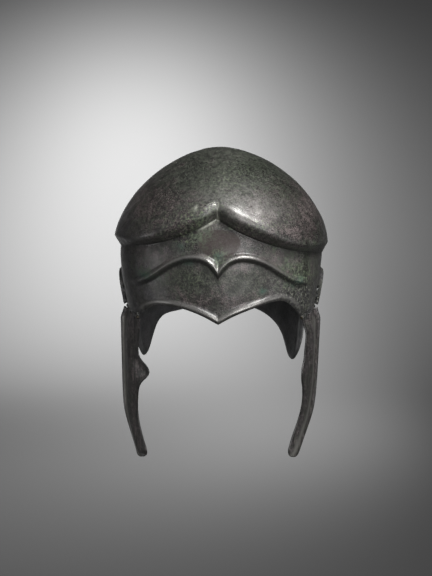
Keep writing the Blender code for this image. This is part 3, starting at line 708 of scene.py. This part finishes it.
PLACES = {  # on the front: across, height, half_width, half_height, amount
    "olive": (
        (4, 146, 45, 20, 0.9), (15, 122, 30, 20, 0.9), (-28, 135, 30, 22, 0.6), (45, 130, 25, 16, 0.5),
        (-25, 44, 22, 13, 0.9), (26, 44, 20, 13, 0.8), (2, 64, 12, 9, 0.7), (73, 44, 16, 14, 0.6),
    ),
    "purple": (
        (4, 79, 30, 11, 1.0), (-49, 104, 32, 15, 0.8), (62, 104, 26, 17, 0.9), (4, 27, 34, 7, 0.7),
        (-60, 64, 22, 11, 0.3), (79, 88, 16, 14, 0.7), (38, 62, 20, 9, 0.7), (30, 103, 16, 8, 0.8),
        (36, 118, 20, 11, 0.7), (2, 80, 18, 8, 1.0),
    ),
    "green": (
        (-14, 98, 14, 7, 1.0), (-20, 84, 13, 9, 1.0), (-63, 46, 16, 6, 0.9), (73, 40, 14, 9, 1.0),
        (64, 56, 12, 8, 0.7), (2, 64, 9, 8, 0.9), (28, 142, 32, 14, 0.3), (52, 118, 18, 12, 0.4),
        (-8, 122, 22, 14, 0.35), (51, 72, 5, 4, 1.0), (80, 68, 12, 6, 0.6), (-30, 46, 16, 10, 0.4),
    ),
    "teal": (
        (41, 34, 3.2, 3, 1.0), (-27, 61, 6, 3, 0.8), (72, 37, 7, 4, 0.9), (-66, 44, 9, 3, 0.9),
        (0, 67, 5, 5, 0.6), (-34, 74, 6, 4, 0.5),
    ),
    "crust": (
        (70, 26, 12, 9, 1.0), (80, 14, 8, 11, 1.0), (56, 27, 8, 4, 0.9), (90, 4, 5, 6, 1.0),
        (-90, 2, 4, 5, 0.6),
    ),
    "matt": (
        (1, 79, 19, 11, 2.5), (5, 56, 42, 12, 0.8), (-40, 50, 22, 16, 0.6), (0, 148, 60, 14, 0.7),
        (-20, 128, 26, 18, 0.6),
    ),
    # Polished bronze; its lighter, bare colour also paints the dome's highlight and, in the small spot, a
    # glint
    "polish_and_highlight": (
        (20, 110, 28, 13, 0.9), (26, 109, 16, 5, 0.5), (46, 101, 18, 8, 0.6), (-18, 104, 2.2, 2, 1.0),
        (-10, 111, 16, 9, 0.4),
    ),
    # Smoother, lighter patina; on the side bands and the right temple its lighter tone is partly a painted
    # sheen
    "smooth": (
        (-64, 62, 20, 15, 0.8), (-60, 24, 15, 9, 0.7), (-88, 40, 8, 40, 0.8), (86, 40, 7, 34, 0.8),
        (34, 108, 26, 12, 0.5), (-80, 100, 20, 20, 0.4), (2, 80, 18, 8, 0.9), (-46, 50, 14, 12, 0.5),
        (60, 62, 16, 10, 0.7), (60, 24, 14, 8, 0.7),
    ),
    "dark": (
        (38, 139, 22, 9, 0.7), (-42, 121, 24, 16, 0.5), (62, 117, 18, 13, 0.6), (-20, 78, 18, 9, 0.9),
        (8, 78, 22, 9, 1.0), (-85, 40, 7, 34, 0.6), (80, 40, 2.5, 30, 0.8), (30, 72, 16, 8, 0.3),
        (50, 124, 22, 14, 0.6), (2, 80, 20, 9, 0.9), (14, 140, 24, 10, 0.4), (-4, 70, 14, 8, 0.6),
        (10, 22, 18, 9, 0.5), (34, 72, 10, 6, 0.4), (90, 76, 12, 18, 0.7), (-22, 142, 24, 10, 0.6),
        (14, 67, 9, 6, 0.35), (-33, 50, 9, 14, 0.4),
    ),
    "fleck": (
        (-19, 98, 13, 8, 1.0), (-30, 84, 12, 9, 1.0), (-8, 106, 9, 5, 0.7), (0, 64, 10, 8, 0.8),
        (70, 34, 14, 10, 1.0), (66, 52, 12, 9, 0.5), (-24, 46, 18, 12, 0.5), (10, 126, 26, 16, 0.5),
        (80, 14, 10, 12, 0.8), (78, 40, 12, 12, 0.6), (51, 72, 6, 4, 0.8), (30, 92, 26, 6, 0.6),
        (-50, 96, 26, 14, 0.3), (60, 106, 22, 14, 0.3),
    ),
}
# Where the eyebrow ridge's wear and painted highlight is broader, and where it is stronger
BROAD_RIDGE_PLACES = ((-10, 55, 11, 9, 1.0), (24, 61, 9, 5, 0.5))
RIDGE_PLACES = (
    (-14, 58, 16, 12, 1.0), (-4, 48, 8, 8, 1.0), (22, 62, 13, 6, 0.9), (-40, 54, 20, 10, 0.45),
    (45, 52, 16, 8, 0.4),
)
# A painted glint on the ledge's shoulder, in the chalk's colour
GLINT_PLACES = ((-19, 105.5, 1.6, 1.6, 1.0),)
# Marks that follow the forms. A line is the middle and the spread of a mark across itself. A run is
# where a mark starts along itself, is full, fades and ends. The sides are the wearer's.
# Wear and a painted highlight along the eyebrow ridge's crest
RIDGE_LINE = 5.2  # above the foot of the eyebrow ridge
RIDGE_SPREAD = (1.3, 1.1)  # and how much more in the broad places
RIDGE_WEAR_AND_HIGHLIGHT = (0.25, 0.75)  # and how much more in the listed places, where the ridge is more worn and its painted highlight stronger
# Painted shade under the eyebrow ridge
UNDER_RIDGE_LINE = (1.6, 1.9)
# Wear and a painted highlight along the brow's bead
RIM_LINE = (4.2, 1.6)  # from the edge
# Painted shade in the ledge's crease and down its overhanging wall, darker on the left
CREASE_LINE = (0.0, 2.0)  # above the ledge's crease
CREASE_SHADE = 0.8
OVERHANG_RUN = (-0.5, 1.0, 8.0, 13.0)  # above the crease
OVERHANG_SHADE = (0.02, 0.36)  # on the right, and how much more on the left
OVERHANG_TURN = (-1.0, 1.0)
OVERHANG_FADE = (-60.0, -30.0)
PALE_MARK = ((-1.2, 1.0), (-1.0, 1.0, 9.0, 14.0))  # a pale line under the crease, partly a painted highlight on its lip: above the crease, towards the right
FOLD_LINE = (0.0, 0.7)  # a pale line up the middle of the brow, partly a painted highlight in the crown's valley
FOLD_FOOT = -1.0  # above the crease
FOLD_TOP = (9.0, 12.0)
RIGHT_SHOULDER_HIGHLIGHT = ((0.0, 0.9), (-0.5, 0.8, 5.0, 9.0))  # painted highlight: above the ledge's shoulder, towards the right
LEFT_SHOULDER_HIGHLIGHT = ((0.5, 1.5), (3.0, 8.0, 22.0, 34.0))  # painted highlight: above the ledge's shoulder, towards the left
LEFT_HIGHLIGHT_SHARE = 0.45
# A bright worn line up the crown's right side, partly a painted highlight
CROWN_FOLD = ((65.5, 72.8, 86.0), (106.8, 97.0, 84.5))  # azimuths towards the right, heights
CROWN_FOLD_MARK = ((0.0, 0.9), (63.0, 66.0, 84.0, 87.0))
CROWN_FOLD_WEAR_AND_HIGHLIGHT = 0.6
# On the cheekpieces the runs are shares of the height.
CHEEK_STRIP = {  # painted sheen strip: middle from the rear edge, spread, and its amounts of the wear-and-highlight and the chalk-and-glint masks
    "left": (15.0, 4.5, 0.6, 0.16),
    "right": (5.5, 3.4, 0.9, 0.34),
}
STRIP_RUN = (0.02, 0.08, 0.8, 1.0)
STRIP_SHADE = {"left": 0.0, "right": 0.7}  # of a dark line
STRIP_SHADE_LINE = (7.0, 3.0)  # in front of the strip
CHEEK_EDGE_SHADE = {"rear": (0.9, 1.8), "front": (0.8, 3.5)}  # amount, spread
CHEEK_PURPLE = {"left": 0.2, "right": 0.3}
# Relief of the skull's skin: size of the features, octaves, seed, amount
LARGE_DENTS = (26.0, 2, 0.0, 0.35)
SMALL_DENTS = (9.0, 2, 7.3, 0.12)
CRUST_GRAIN = (2.6, 3, 3.1, 0.22)
CALM_FROM = 1.0  # the edge itself has no dents
NOISE_FALL = 0.9  # how fast the octaves weaken
NOISE_STEP = 2.0  # and how much finer each is

# ---- build the pieces


def to_frame(points):
    return points * MM + np.array([0, 0, HINGE_HEIGHT])


def mark(across, along, shape):
    """A mark on a line, from distances across it and along it."""
    line, steps = shape
    return peak(across, *line) * run(along, *steps)


def more(amounts, share):
    """The first amount everywhere, and the second on top of it by its share."""
    return amounts[0] + amounts[1] * share


def skull_marks(base, azimuth, z, reach, edge):
    """Masks of the skull's patina: wear with painted highlights, painted shade, and pale chalk with painted
    glints.
    """
    above = above_eyebrow(azimuth, z)
    over = z - ledge_height(azimuth)
    over_shoulder = over - ledge_depth(azimuth)
    rightward = -azimuth
    on_ridge = 1 - smooth_step(np.abs(azimuth), *EYEBROW_ENDS)

    # Wear with painted highlights: the eyebrow ridge, the bead, the ledge's shoulders and the crown's fold
    ridge = peak(above, RIDGE_LINE, more(RIDGE_SPREAD, spots(base, BROAD_RIDGE_PLACES))) * on_ridge
    ridge = ridge * more(RIDGE_WEAR_AND_HIGHLIGHT, spots(base, RIDGE_PLACES))
    rim = peak(reach, *RIM_LINE) * edge["bead"]
    right_highlight = mark(over_shoulder, rightward, RIGHT_SHOULDER_HIGHLIGHT)
    left_highlight = mark(over_shoulder, azimuth, LEFT_SHOULDER_HIGHLIGHT)
    crown_fold = mark(z - np.interp(rightward, *CROWN_FOLD), rightward, CROWN_FOLD_MARK)
    lines = np.maximum(right_highlight, LEFT_HIGHLIGHT_SHARE * left_highlight)
    lines = np.maximum(lines, CROWN_FOLD_WEAR_AND_HIGHLIGHT * crown_fold)

    # Painted shade under the ridge, in the crease and on the ledge's wall
    under = peak(above, *UNDER_RIDGE_LINE) * on_ridge
    crease = peak(over, *CREASE_LINE) * CREASE_SHADE
    overhang = run(over, *OVERHANG_RUN) * more(OVERHANG_SHADE, smooth_step(azimuth, *OVERHANG_TURN))
    overhang = overhang * smooth_step(-np.abs(azimuth), *OVERHANG_FADE)

    # Pale lines, partly painted highlights, and a painted glint
    pale = mark(over, rightward, PALE_MARK)
    fold = peak(azimuth, *FOLD_LINE) * (over > FOLD_FOOT) * (1 - smooth_step(over, *FOLD_TOP))
    return {
        "wear_and_highlight": np.clip(ridge + rim + lines, 0, 1),
        "painted_shade": np.clip(under + crease + overhang, 0, 1),
        "chalk_and_glint": np.clip(pale + fold + spots(base, GLINT_PLACES), 0, 1),
        **{key: spots(base, rows) for key, rows in PLACES.items()},
    }


def make_shell():
    azimuth, z, reach, edge = skull_grid()
    base = skull_points(azimuth, z)
    normals = skull_normals(azimuth, z)
    marks = skull_marks(base, azimuth, z, reach, edge)
    relief = edge_relief(edge, reach) + eyebrow_relief(azimuth, z) + swell_relief(azimuth, z)
    dents = fractal(base, *LARGE_DENTS) + fractal(base, *SMALL_DENTS)
    rough = fractal(base, *CRUST_GRAIN) * marks["crust"]
    relief = relief + dents * smooth_step(reach, CALM_FROM, HEM_WIDTH) + rough
    points = base + normals * relief[..., None]
    pole = np.array([0.0, 0.0, CROWN_TOP])
    shell = sheet_object("helmet_skull", to_frame(points), marks, True, to_frame(pole))
    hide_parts("shell")
    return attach(shell, "helmet")


def make_cheekpiece(name):
    local = cheek_grid(name)
    swung = np.array(hinge_matrix(name, REST_SWING[name]))
    points = local * MM @ swung[:3, :3].T + swung[:3, 3]
    down = np.linspace(0, 1, CHEEK_ROWS + 1)[:, None] * np.ones(CHEEK_COLUMNS + 1)
    from_rear = smooth_table(CHEEK_REAR, local[..., 2]) - local[..., 0]
    from_front = local[..., 0] - local[:, :1, 0]
    strip_at, strip_spread, strip_sheen, strip_pale_sheen = CHEEK_STRIP[name]
    shade_at, shade_spread = STRIP_SHADE_LINE
    # A painted sheen strip near the rear edge
    strip = mark(from_rear, down, ((strip_at, strip_spread), STRIP_RUN))
    # Painted shade along the rear and front edges, and on the right one a dark line in front of the strip
    dark = 0
    for edge, distance in (("rear", from_rear), ("front", from_front)):
        amount, spread = CHEEK_EDGE_SHADE[edge]
        dark = dark + amount * peak(distance, 0, spread)
    beside_strip = ((strip_at + shade_at, shade_spread), STRIP_RUN)
    dark = dark + STRIP_SHADE[name] * mark(from_rear, down, beside_strip)
    marks = {
        "wear_and_highlight": strip_sheen * strip,
        "chalk_and_glint": strip_pale_sheen * strip,
        "painted_shade": np.clip(dark, 0, 1),
        "purple": 0 * down + CHEEK_PURPLE[name],
        "streaked": 1 + 0 * down,
    }
    sheet = sheet_object(f"cheekpiece_{name}_sheet", points, marks, flip=SIDES[name] > 0)
    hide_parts(f"cheekpiece_{name}")
    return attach(sheet, f"cheekpiece_{name}")


def make_knuckles(name):
    made = []
    carriers = (("shell", "helmet", 0.0), ("cheek", f"cheekpiece_{name}", REST_SWING[name]))
    for carrier, body, swing in carriers:
        places = [(start, end) for start, end, owner in KNUCKLES if owner == carrier]
        piece = barrel_object(
            f"{carrier}_knuckles_{name}", places, KNUCKLE_WAY[carrier], hinge_matrix(name, swing), SIDES[name]
        )
        made.append(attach(piece, body))
    return made


# ---- materials

PURPLE = (0.080, 0.063, 0.062, 1)
OLIVE = (0.064, 0.065, 0.054, 1)
SLATE = (0.046, 0.047, 0.051, 1)
BLACK = (0.010, 0.010, 0.009, 1)
MOSS = (0.115, 0.145, 0.095, 1)
TEAL = (0.035, 0.105, 0.072, 1)
PALE = (0.36, 0.36, 0.31, 1)
# Pale chalk, also the colour of painted glints and highlights
CHALK_AND_GLINT = (0.60, 0.61, 0.52, 1)
LICHEN = (0.20, 0.24, 0.15, 1)
MAROON = (0.050, 0.031, 0.029, 1)
# Bare metal, also the colour of painted highlights
BARE_METAL_AND_HIGHLIGHT = (0.30, 0.29, 0.275, 1)
PIN_COLOURS = ((0.10, 0.085, 0.062, 1), (0.04, 0.037, 0.031, 1))
PAPER = (0.09, 0.09, 0.09, 1)

TO_MM = (1000.0, 1000.0, 1000.0)
NOISES = {  # offset, features per millimetre, detail, roughness, distortion
    "cloud": (0.0, 0.05, 7.0, 0.72, 0.4),
    "mottle": (0.0, 0.20, 7.0, 0.84, 0.3),
    "blotch": (40.0, 0.16, 7.0, 0.86, 0.3),
    "grain": (0.0, 0.9, 2.0, 0.6, 0.0),
    "fine": (11.0, 0.42, 3.0, 0.7, 0.0),
}
EVEN_TONES = (  # mask, how far it evens out the tone, tone there
    # Polished places partly paint a highlight, the inside's lifted tone is painted light in its shade, and
    # the smooth places' lighter tone is partly a painted sheen
    ("polish_and_highlight", 0.4, 1.0), ("inside", 0.7, 1.9), ("smooth", 0.7, 1.25),
)
DRAWN_OUT = (1.0, 1.0, 0.10)  # streaks run down the cheekpieces
LAYERS = (  # mask, noise, its range and, where not 0 and 1, the strength there, amount, colour
    ("green", "blotch", (0.46, 0.38), 0.85, BLACK),
    ("teal", "blotch", (0.40, 0.56), 1.0, TEAL),
    # Bare metal's colour where polished and worn, which also paints highlights and a glint
    ("polish_and_highlight", "blotch", (0.40, 0.60, 0.15, 0.60), 1.0, BARE_METAL_AND_HIGHLIGHT),
    ("wear_and_highlight", "blotch", (0.30, 0.48, 0.45, 1.0), 1.0, BARE_METAL_AND_HIGHLIGHT),
    # Painted shade
    ("painted_shade", None, None, 0.8, BLACK),
    ("fleck", "fine", (0.55, 0.62), 1.0, LICHEN),
    ("fleck", "fine", (0.47, 0.40), 0.7, BLACK),
    ("crust", "blotch", (0.50, 0.40), 1.0, BLACK),
    ("crust", "gravel", (0.56, 0.59), 1.0, PALE),
    # Pale chalk, with painted glints and highlights
    ("chalk_and_glint", "mottle", (0.42, 0.52, 0.6, 1.0), 1.0, CHALK_AND_GLINT),
)
PATINA_ROUGHNESS = (0.40, 0.56)  # where it is thin and where it is thick
ROUGHNESS = {"dull": 0.66, "darkened": 0.32, "stained": 0.95, "polish_and_highlight": 0.46, "wear_and_highlight layer": 0.27}
METALLIC = (0.25, 0.78)  # of the patina and of bare metal


class Shading:
    """A material with its nodes. An input is a value, another node's output or a field's name."""

    def __init__(self, name, sockets):
        self.material = bpy.data.materials.new(name)
        self.material.use_nodes = True
        self.fields = {}
        self.shader = self.material.node_tree.nodes["Principled BSDF"]
        for key, value in sockets.items():
            self.shade(key, value)

    def shade(self, key, value):
        self.feed(value, self.shader.inputs[key])

    def feed(self, value, socket):
        if isinstance(value, str):
            value = self.fields[value]
        if isinstance(value, bpy.types.NodeSocket):
            self.material.node_tree.links.new(value, socket)
        else:
            socket.default_value = value

    def node(self, kind, inputs, output=0, **settings):
        made = self.material.node_tree.nodes.new(kind)
        for key, value in settings.items():
            setattr(made, key, value)
        for key, value in inputs.items():
            self.feed(value, made.inputs[key])
        return made.outputs[output]

    def place(self):
        return self.node("ShaderNodeTexCoord", {}, "Object")

    def vectors(self, operation, first, second):
        return self.node("ShaderNodeVectorMath", {0: first, 1: second}, operation=operation)

    def noise(self, *settings):
        inputs = dict(zip(("Vector", "Scale", "Detail", "Roughness", "Distortion"), settings))
        return self.node("ShaderNodeTexNoise", inputs, "Fac")

    def remap(self, value, low, high, to_low=0.0, to_high=1.0):
        inputs = {"Value": value, "From Min": low, "From Max": high, "To Min": to_low, "To Max": to_high}
        return self.node("ShaderNodeMapRange", inputs, "Result", interpolation_type="SMOOTHSTEP")

    def math(self, operation, first, second, clamp=False):
        inputs = {0: first, 1: second}
        return self.node("ShaderNodeMath", inputs, operation=operation, use_clamp=clamp)

    def times(self, first, second):
        return self.math("MULTIPLY", first, second)

    def plus(self, first, second):
        return self.math("ADD", first, second)

    def highest(self, first, *others, clamp=True):
        for other in others:
            first = self.math("MAXIMUM", first, other, clamp)
        return first

    def mix(self, share, first, second):
        """Mixes two numbers. Their sockets come after the share's."""
        return self.node("ShaderNodeMix", {0: share, 2: first, 3: second}, data_type="FLOAT")

    def mix_colours(self, share, first, second, blend="MIX"):
        """Mixes two colours. Their sockets come after those for numbers and vectors."""
        inputs = {0: share, 6: first, 7: second}
        return self.node("ShaderNodeMix", inputs, 2, data_type="RGBA", blend_type=blend)

    def bump(self, strength, distance, height):
        inputs = {"Strength": strength, "Distance": distance, "Height": height}
        self.shade("Normal", self.node("ShaderNodeBump", inputs, "Normal"))


def patina_tone(made, place):
    """How light the patina is: mottled, and more even where it is polished, smooth or inside. The even tone
    there partly paints the dome's highlight, a sheen on the sides and light in the inside's shade.
    """
    tone = made.remap("blotch", 0.41, 0.59, 0.30, 1.6)
    tone = made.times(tone, made.remap("grain", 0.36, 0.64, 0.30, 1.70))
    for mask, share, even in EVEN_TONES:
        tone = made.mix(made.times(mask, share), tone, even)
    tone = made.times(tone, made.mix("dark", 1.0, 0.45))
    tone = made.times(tone, made.remap("cloud", 0.40, 0.60, 1.25, 0.70))
    drawn = made.noise(made.vectors("MULTIPLY", place, DRAWN_OUT), 0.45, 3.0, 0.6)
    return made.times(tone, made.mix("streaked", 1.0, made.remap(drawn, 0.38, 0.62, 0.55, 1.35)))


def patina_colour(made, place):
    """The patina's colour. The layers that change its gloss too are kept as fields."""
    clouds = made.plus(made.times("cloud", 0.5), made.times("mottle", 0.5))
    lean = made.times(made.math("SUBTRACT", "olive", "purple"), 0.10)
    made.fields["patch"] = made.plus(clouds, lean)
    colour = made.mix_colours(made.remap("patch", 0.44, 0.56), PURPLE, OLIVE)
    slate = made.remap(made.math("ADD", "olive", "purple", True), 0.45, 0.0)
    slate = made.times(slate, made.remap("cloud", 0.60, 0.40))
    slate = made.highest(made.times(slate, 0.8), made.times("inside", 0.8), clamp=False)
    colour = made.mix_colours(slate, colour, SLATE)
    colour = made.mix_colours(1.0, colour, patina_tone(made, place), "MULTIPLY")

    made.fields["stained"] = made.remap("matt", 0.85, 1.0)
    colour = made.mix_colours(made.times("stained", 0.75), colour, MAROON)
    specks = made.plus(made.times("olive", 0.5), 0.25)
    colour = made.mix_colours(made.times(made.remap("grain", 0.56, 0.66), specks), colour, MOSS)
    moss = made.remap(made.plus("mottle", made.times("green", 0.07)), 0.50, 0.60)
    made.fields["moss"] = made.times(made.plus("green", 0.12), moss)
    colour = made.mix_colours(made.math("MULTIPLY", "moss", 0.9, True), colour, MOSS)
    for mask, noise_name, span, amount, tint in LAYERS:
        share = mask
        if noise_name:
            share = made.times(share, made.remap(noise_name, *span))
        if amount < 1:
            share = made.times(share, amount)
        colour = made.mix_colours(share, colour, tint)
        made.fields[mask + " layer"] = share
    return colour


def patina_roughness(made):
    thick = made.times(made.remap("patch", 0.46, 0.58), 0.8)
    made.fields["dull"] = made.highest("moss", "chalk_and_glint layer", made.times("matt", 0.8), "crust", thick)
    made.fields["darkened"] = made.times("dark", 0.85)
    roughness = made.mix(made.remap("blotch", 0.62, 0.38), *PATINA_ROUGHNESS)
    for field, value in ROUGHNESS.items():
        roughness = made.mix(field, roughness, value)
    uneven = made.remap("grain", 0.36, 0.64, -0.20, 0.20)
    return made.plus(roughness, made.times(uneven, made.math("SUBTRACT", 1.0, "wear_and_highlight layer")))


def patina_height(made):
    """Relief of the patina's surface, flatter where it is worn or carries a painted highlight, polished or
    smooth.
    """
    even = [made.times(*pair) for pair in (("wear_and_highlight layer", 0.8), ("polish_and_highlight", 0.5), ("smooth", 0.6))]
    height = made.plus(made.times("blotch", 0.8), made.times("grain", 0.4))
    height = made.plus(height, made.times("fine", 0.7))
    height = made.plus(height, made.times(made.times("mottle", "crust"), 1.5))
    return made.times(height, made.math("SUBTRACT", 1.0, made.highest(*even, clamp=False)))


def bronze_material():
    made = Shading("patinated_bronze", {"IOR": 1.7, "Coat Weight": 0.4, "Coat Roughness": 0.24})
    place = made.vectors("MULTIPLY", made.place(), TO_MM)
    for name, (offset, *settings) in NOISES.items():
        moved = made.vectors("ADD", place, (offset, offset, offset)) if offset else place
        made.fields[name] = made.noise(moved, *settings)
    made.fields["gravel"] = made.plus(made.times("fine", 0.6), made.times("mottle", 0.4))
    for name in ("wear_and_highlight", "painted_shade", "chalk_and_glint", "inside", "streaked", *PLACES):
        made.fields[name] = made.node("ShaderNodeAttribute", {}, "Fac", attribute_name=name)
    made.shade("Base Color", patina_colour(made, place))
    made.shade("Roughness", patina_roughness(made))
    bright = made.highest("wear_and_highlight layer", made.times("polish_and_highlight", 0.6))
    made.shade("Metallic", made.mix(bright, *METALLIC))
    made.bump(0.7, 0.0006, patina_height(made))
    return made.material


def pin_material():
    made = Shading("worn_pin_bronze", {"Metallic": 0.9})
    grain = made.noise(made.place(), 900.0, 4.0, 0.6)
    made.shade("Base Color", made.mix_colours(made.remap(grain, 0.4, 0.65), *PIN_COLOURS))
    made.shade("Roughness", made.remap(grain, 0.3, 0.7, 0.35, 0.6))
    made.bump(0.3, 0.0002, grain)
    return made.material


# ---- studio, in metres

CAMERA_DISTANCE = 1.8
CAMERA_AZIMUTH = 1.3
CAMERA_ELEVATION = 12.0
CAMERA_LENS = 116.0  # in millimetres, for a sensor 36 wide
CAMERA_CLIP = (0.05, 30.0)
AIM_HEIGHT = 0.001  # above the hinge axes
PICTURE_SHAPE = 432 / 576
AIM_IN_PICTURE = (0.0116, 0.0243)  # right of and below the middle, as shares of its width and height
FLOOR_BELOW_TIPS = 0.329
FLOOR_FRONT = -14.0
HALF_FLOOR = 14.0
BACKDROP_AT = 2.315
BACKDROP_HEIGHT = 7.0
CURVE_RADIUS = 0.875
CURVE_STEPS = 24
ROOM_LIGHT = (0.20, 0.20, 0.206, 1)
HINGES_MIDDLE = (0, 0, HINGE_HEIGHT)
HELMET_MIDDLE = (0, 0, HINGE_HEIGHT + 0.06)
SOFT_BOXES = (  # name, place, what it is aimed at, size, watts
    ("high_box", (0.52, -0.42, 1.00), HELMET_MIDDLE, (0.6, 0.36), 14),
    ("front_fill", (1.0, -2.2, 0.45), HELMET_MIDDLE, (1.6, 1.4), 28),
    ("left_fill", (-1.6, -0.2, -0.25), HINGES_MIDDLE, (0.6, 0.9), 2.3),
    ("right_fill", (1.55, -0.45, -0.25), HINGES_MIDDLE, (0.6, 0.9), 1.8),
)
SPOTLIGHTS = (  # name, place, what it is aimed at, angle, radius, watts, whether gloss shows it
    ("back_fill", (-0.7, 2.0, 0.45), HELMET_MIDDLE, 24, 0.35, 190, False),
    ("wall_glow", (-0.233, 1.745, 0.050), (-0.229, 1.874, -0.185), 150, 0.0, 81, True),
    ("floor_glow", (0.241, 1.225, 0.015), (-0.226, 1.224, -0.300), 150, 0.0, 66, True),
)


def look_along(obj, direction):
    obj.rotation_mode = "QUATERNION"
    obj.rotation_quaternion = direction.to_track_quat("-Z", "Y")


def make_camera():
    azimuth, elevation = math.radians(CAMERA_AZIMUTH), math.radians(CAMERA_ELEVATION)
    level = math.cos(elevation)
    back = Vector((math.sin(azimuth) * level, -math.cos(azimuth) * level, math.sin(elevation)))
    data = bpy.data.cameras.new("camera")
    data.lens = CAMERA_LENS
    data.shift_x = -AIM_IN_PICTURE[0] * PICTURE_SHAPE
    data.shift_y = AIM_IN_PICTURE[1]
    data.clip_start, data.clip_end = CAMERA_CLIP
    camera = add_object("camera", data)
    camera.location = Vector((0, 0, HINGE_HEIGHT + AIM_HEIGHT)) + back * CAMERA_DISTANCE
    look_along(camera, -back)
    bpy.context.scene.camera = camera


def make_backdrop():
    """A pale floor that curves up into a wall behind the helmet."""
    floor = cad_box[0].z - FLOOR_BELOW_TIPS
    profile = [(FLOOR_FRONT, floor)]
    for k in range(CURVE_STEPS + 1):
        angle = math.pi / 2 * k / CURVE_STEPS
        behind = BACKDROP_AT - CURVE_RADIUS + CURVE_RADIUS * math.sin(angle)
        profile.append((behind, floor + CURVE_RADIUS - CURVE_RADIUS * math.cos(angle)))
    profile.append((BACKDROP_AT, floor + BACKDROP_HEIGHT))
    points = [(x, y, z) for x in (-HALF_FLOOR, HALF_FLOOR) for y, z in profile]
    count = len(profile)
    faces = [(k, count + k, count + k + 1, k + 1) for k in range(count - 1)]
    mesh = smooth_mesh("backdrop", points, faces)
    paper = Shading("pale_paper", {"Base Color": PAPER, "Roughness": 0.9, "Specular IOR Level": 0.1})
    mesh.materials.append(paper.material)
    add_object("backdrop", mesh)


def add_light(name, kind, place, target, power, **settings):
    """A light that shines from a place towards a target and doesn't show itself."""
    data = bpy.data.lights.new(name, kind)
    data.energy = power
    for key, value in settings.items():
        setattr(data, key, value)
    light = add_object(name, data)
    light.location = place
    look_along(light, Vector(target) - Vector(place))
    light.visible_camera = False
    return light


def make_lights():
    for name, place, target, (width, height), power in SOFT_BOXES:
        add_light(name, "AREA", place, target, power, shape="RECTANGLE", size=width, size_y=height)
    for name, place, target, angle, radius, power, in_gloss in SPOTLIGHTS:
        light = add_light(
            name, "SPOT", place, target, power,
            spot_size=math.radians(angle), spot_blend=1.0, shadow_soft_size=radius,
        )
        light.visible_glossy = in_gloss
    world = bpy.data.worlds.new("room")
    bpy.context.scene.world = world
    world.use_nodes = True
    world.node_tree.nodes["Background"].inputs["Color"].default_value = ROOM_LIGHT


# ---- assemble

bronze = bronze_material()
pieces = [make_shell()]
for name in SIDES:
    pieces.append(make_cheekpiece(name))
    pieces += make_knuckles(name)
for piece in pieces:
    piece.data.materials.append(bronze)
pin_bronze = pin_material()
for name in SIDES:
    pin = frame["nodes"][f"hinge_pin_{name}"]
    pin.data.materials.clear()
    pin.data.materials.append(pin_bronze)

make_backdrop()
make_camera()
make_lights()
bpy.context.scene.view_settings.view_transform = "Standard"
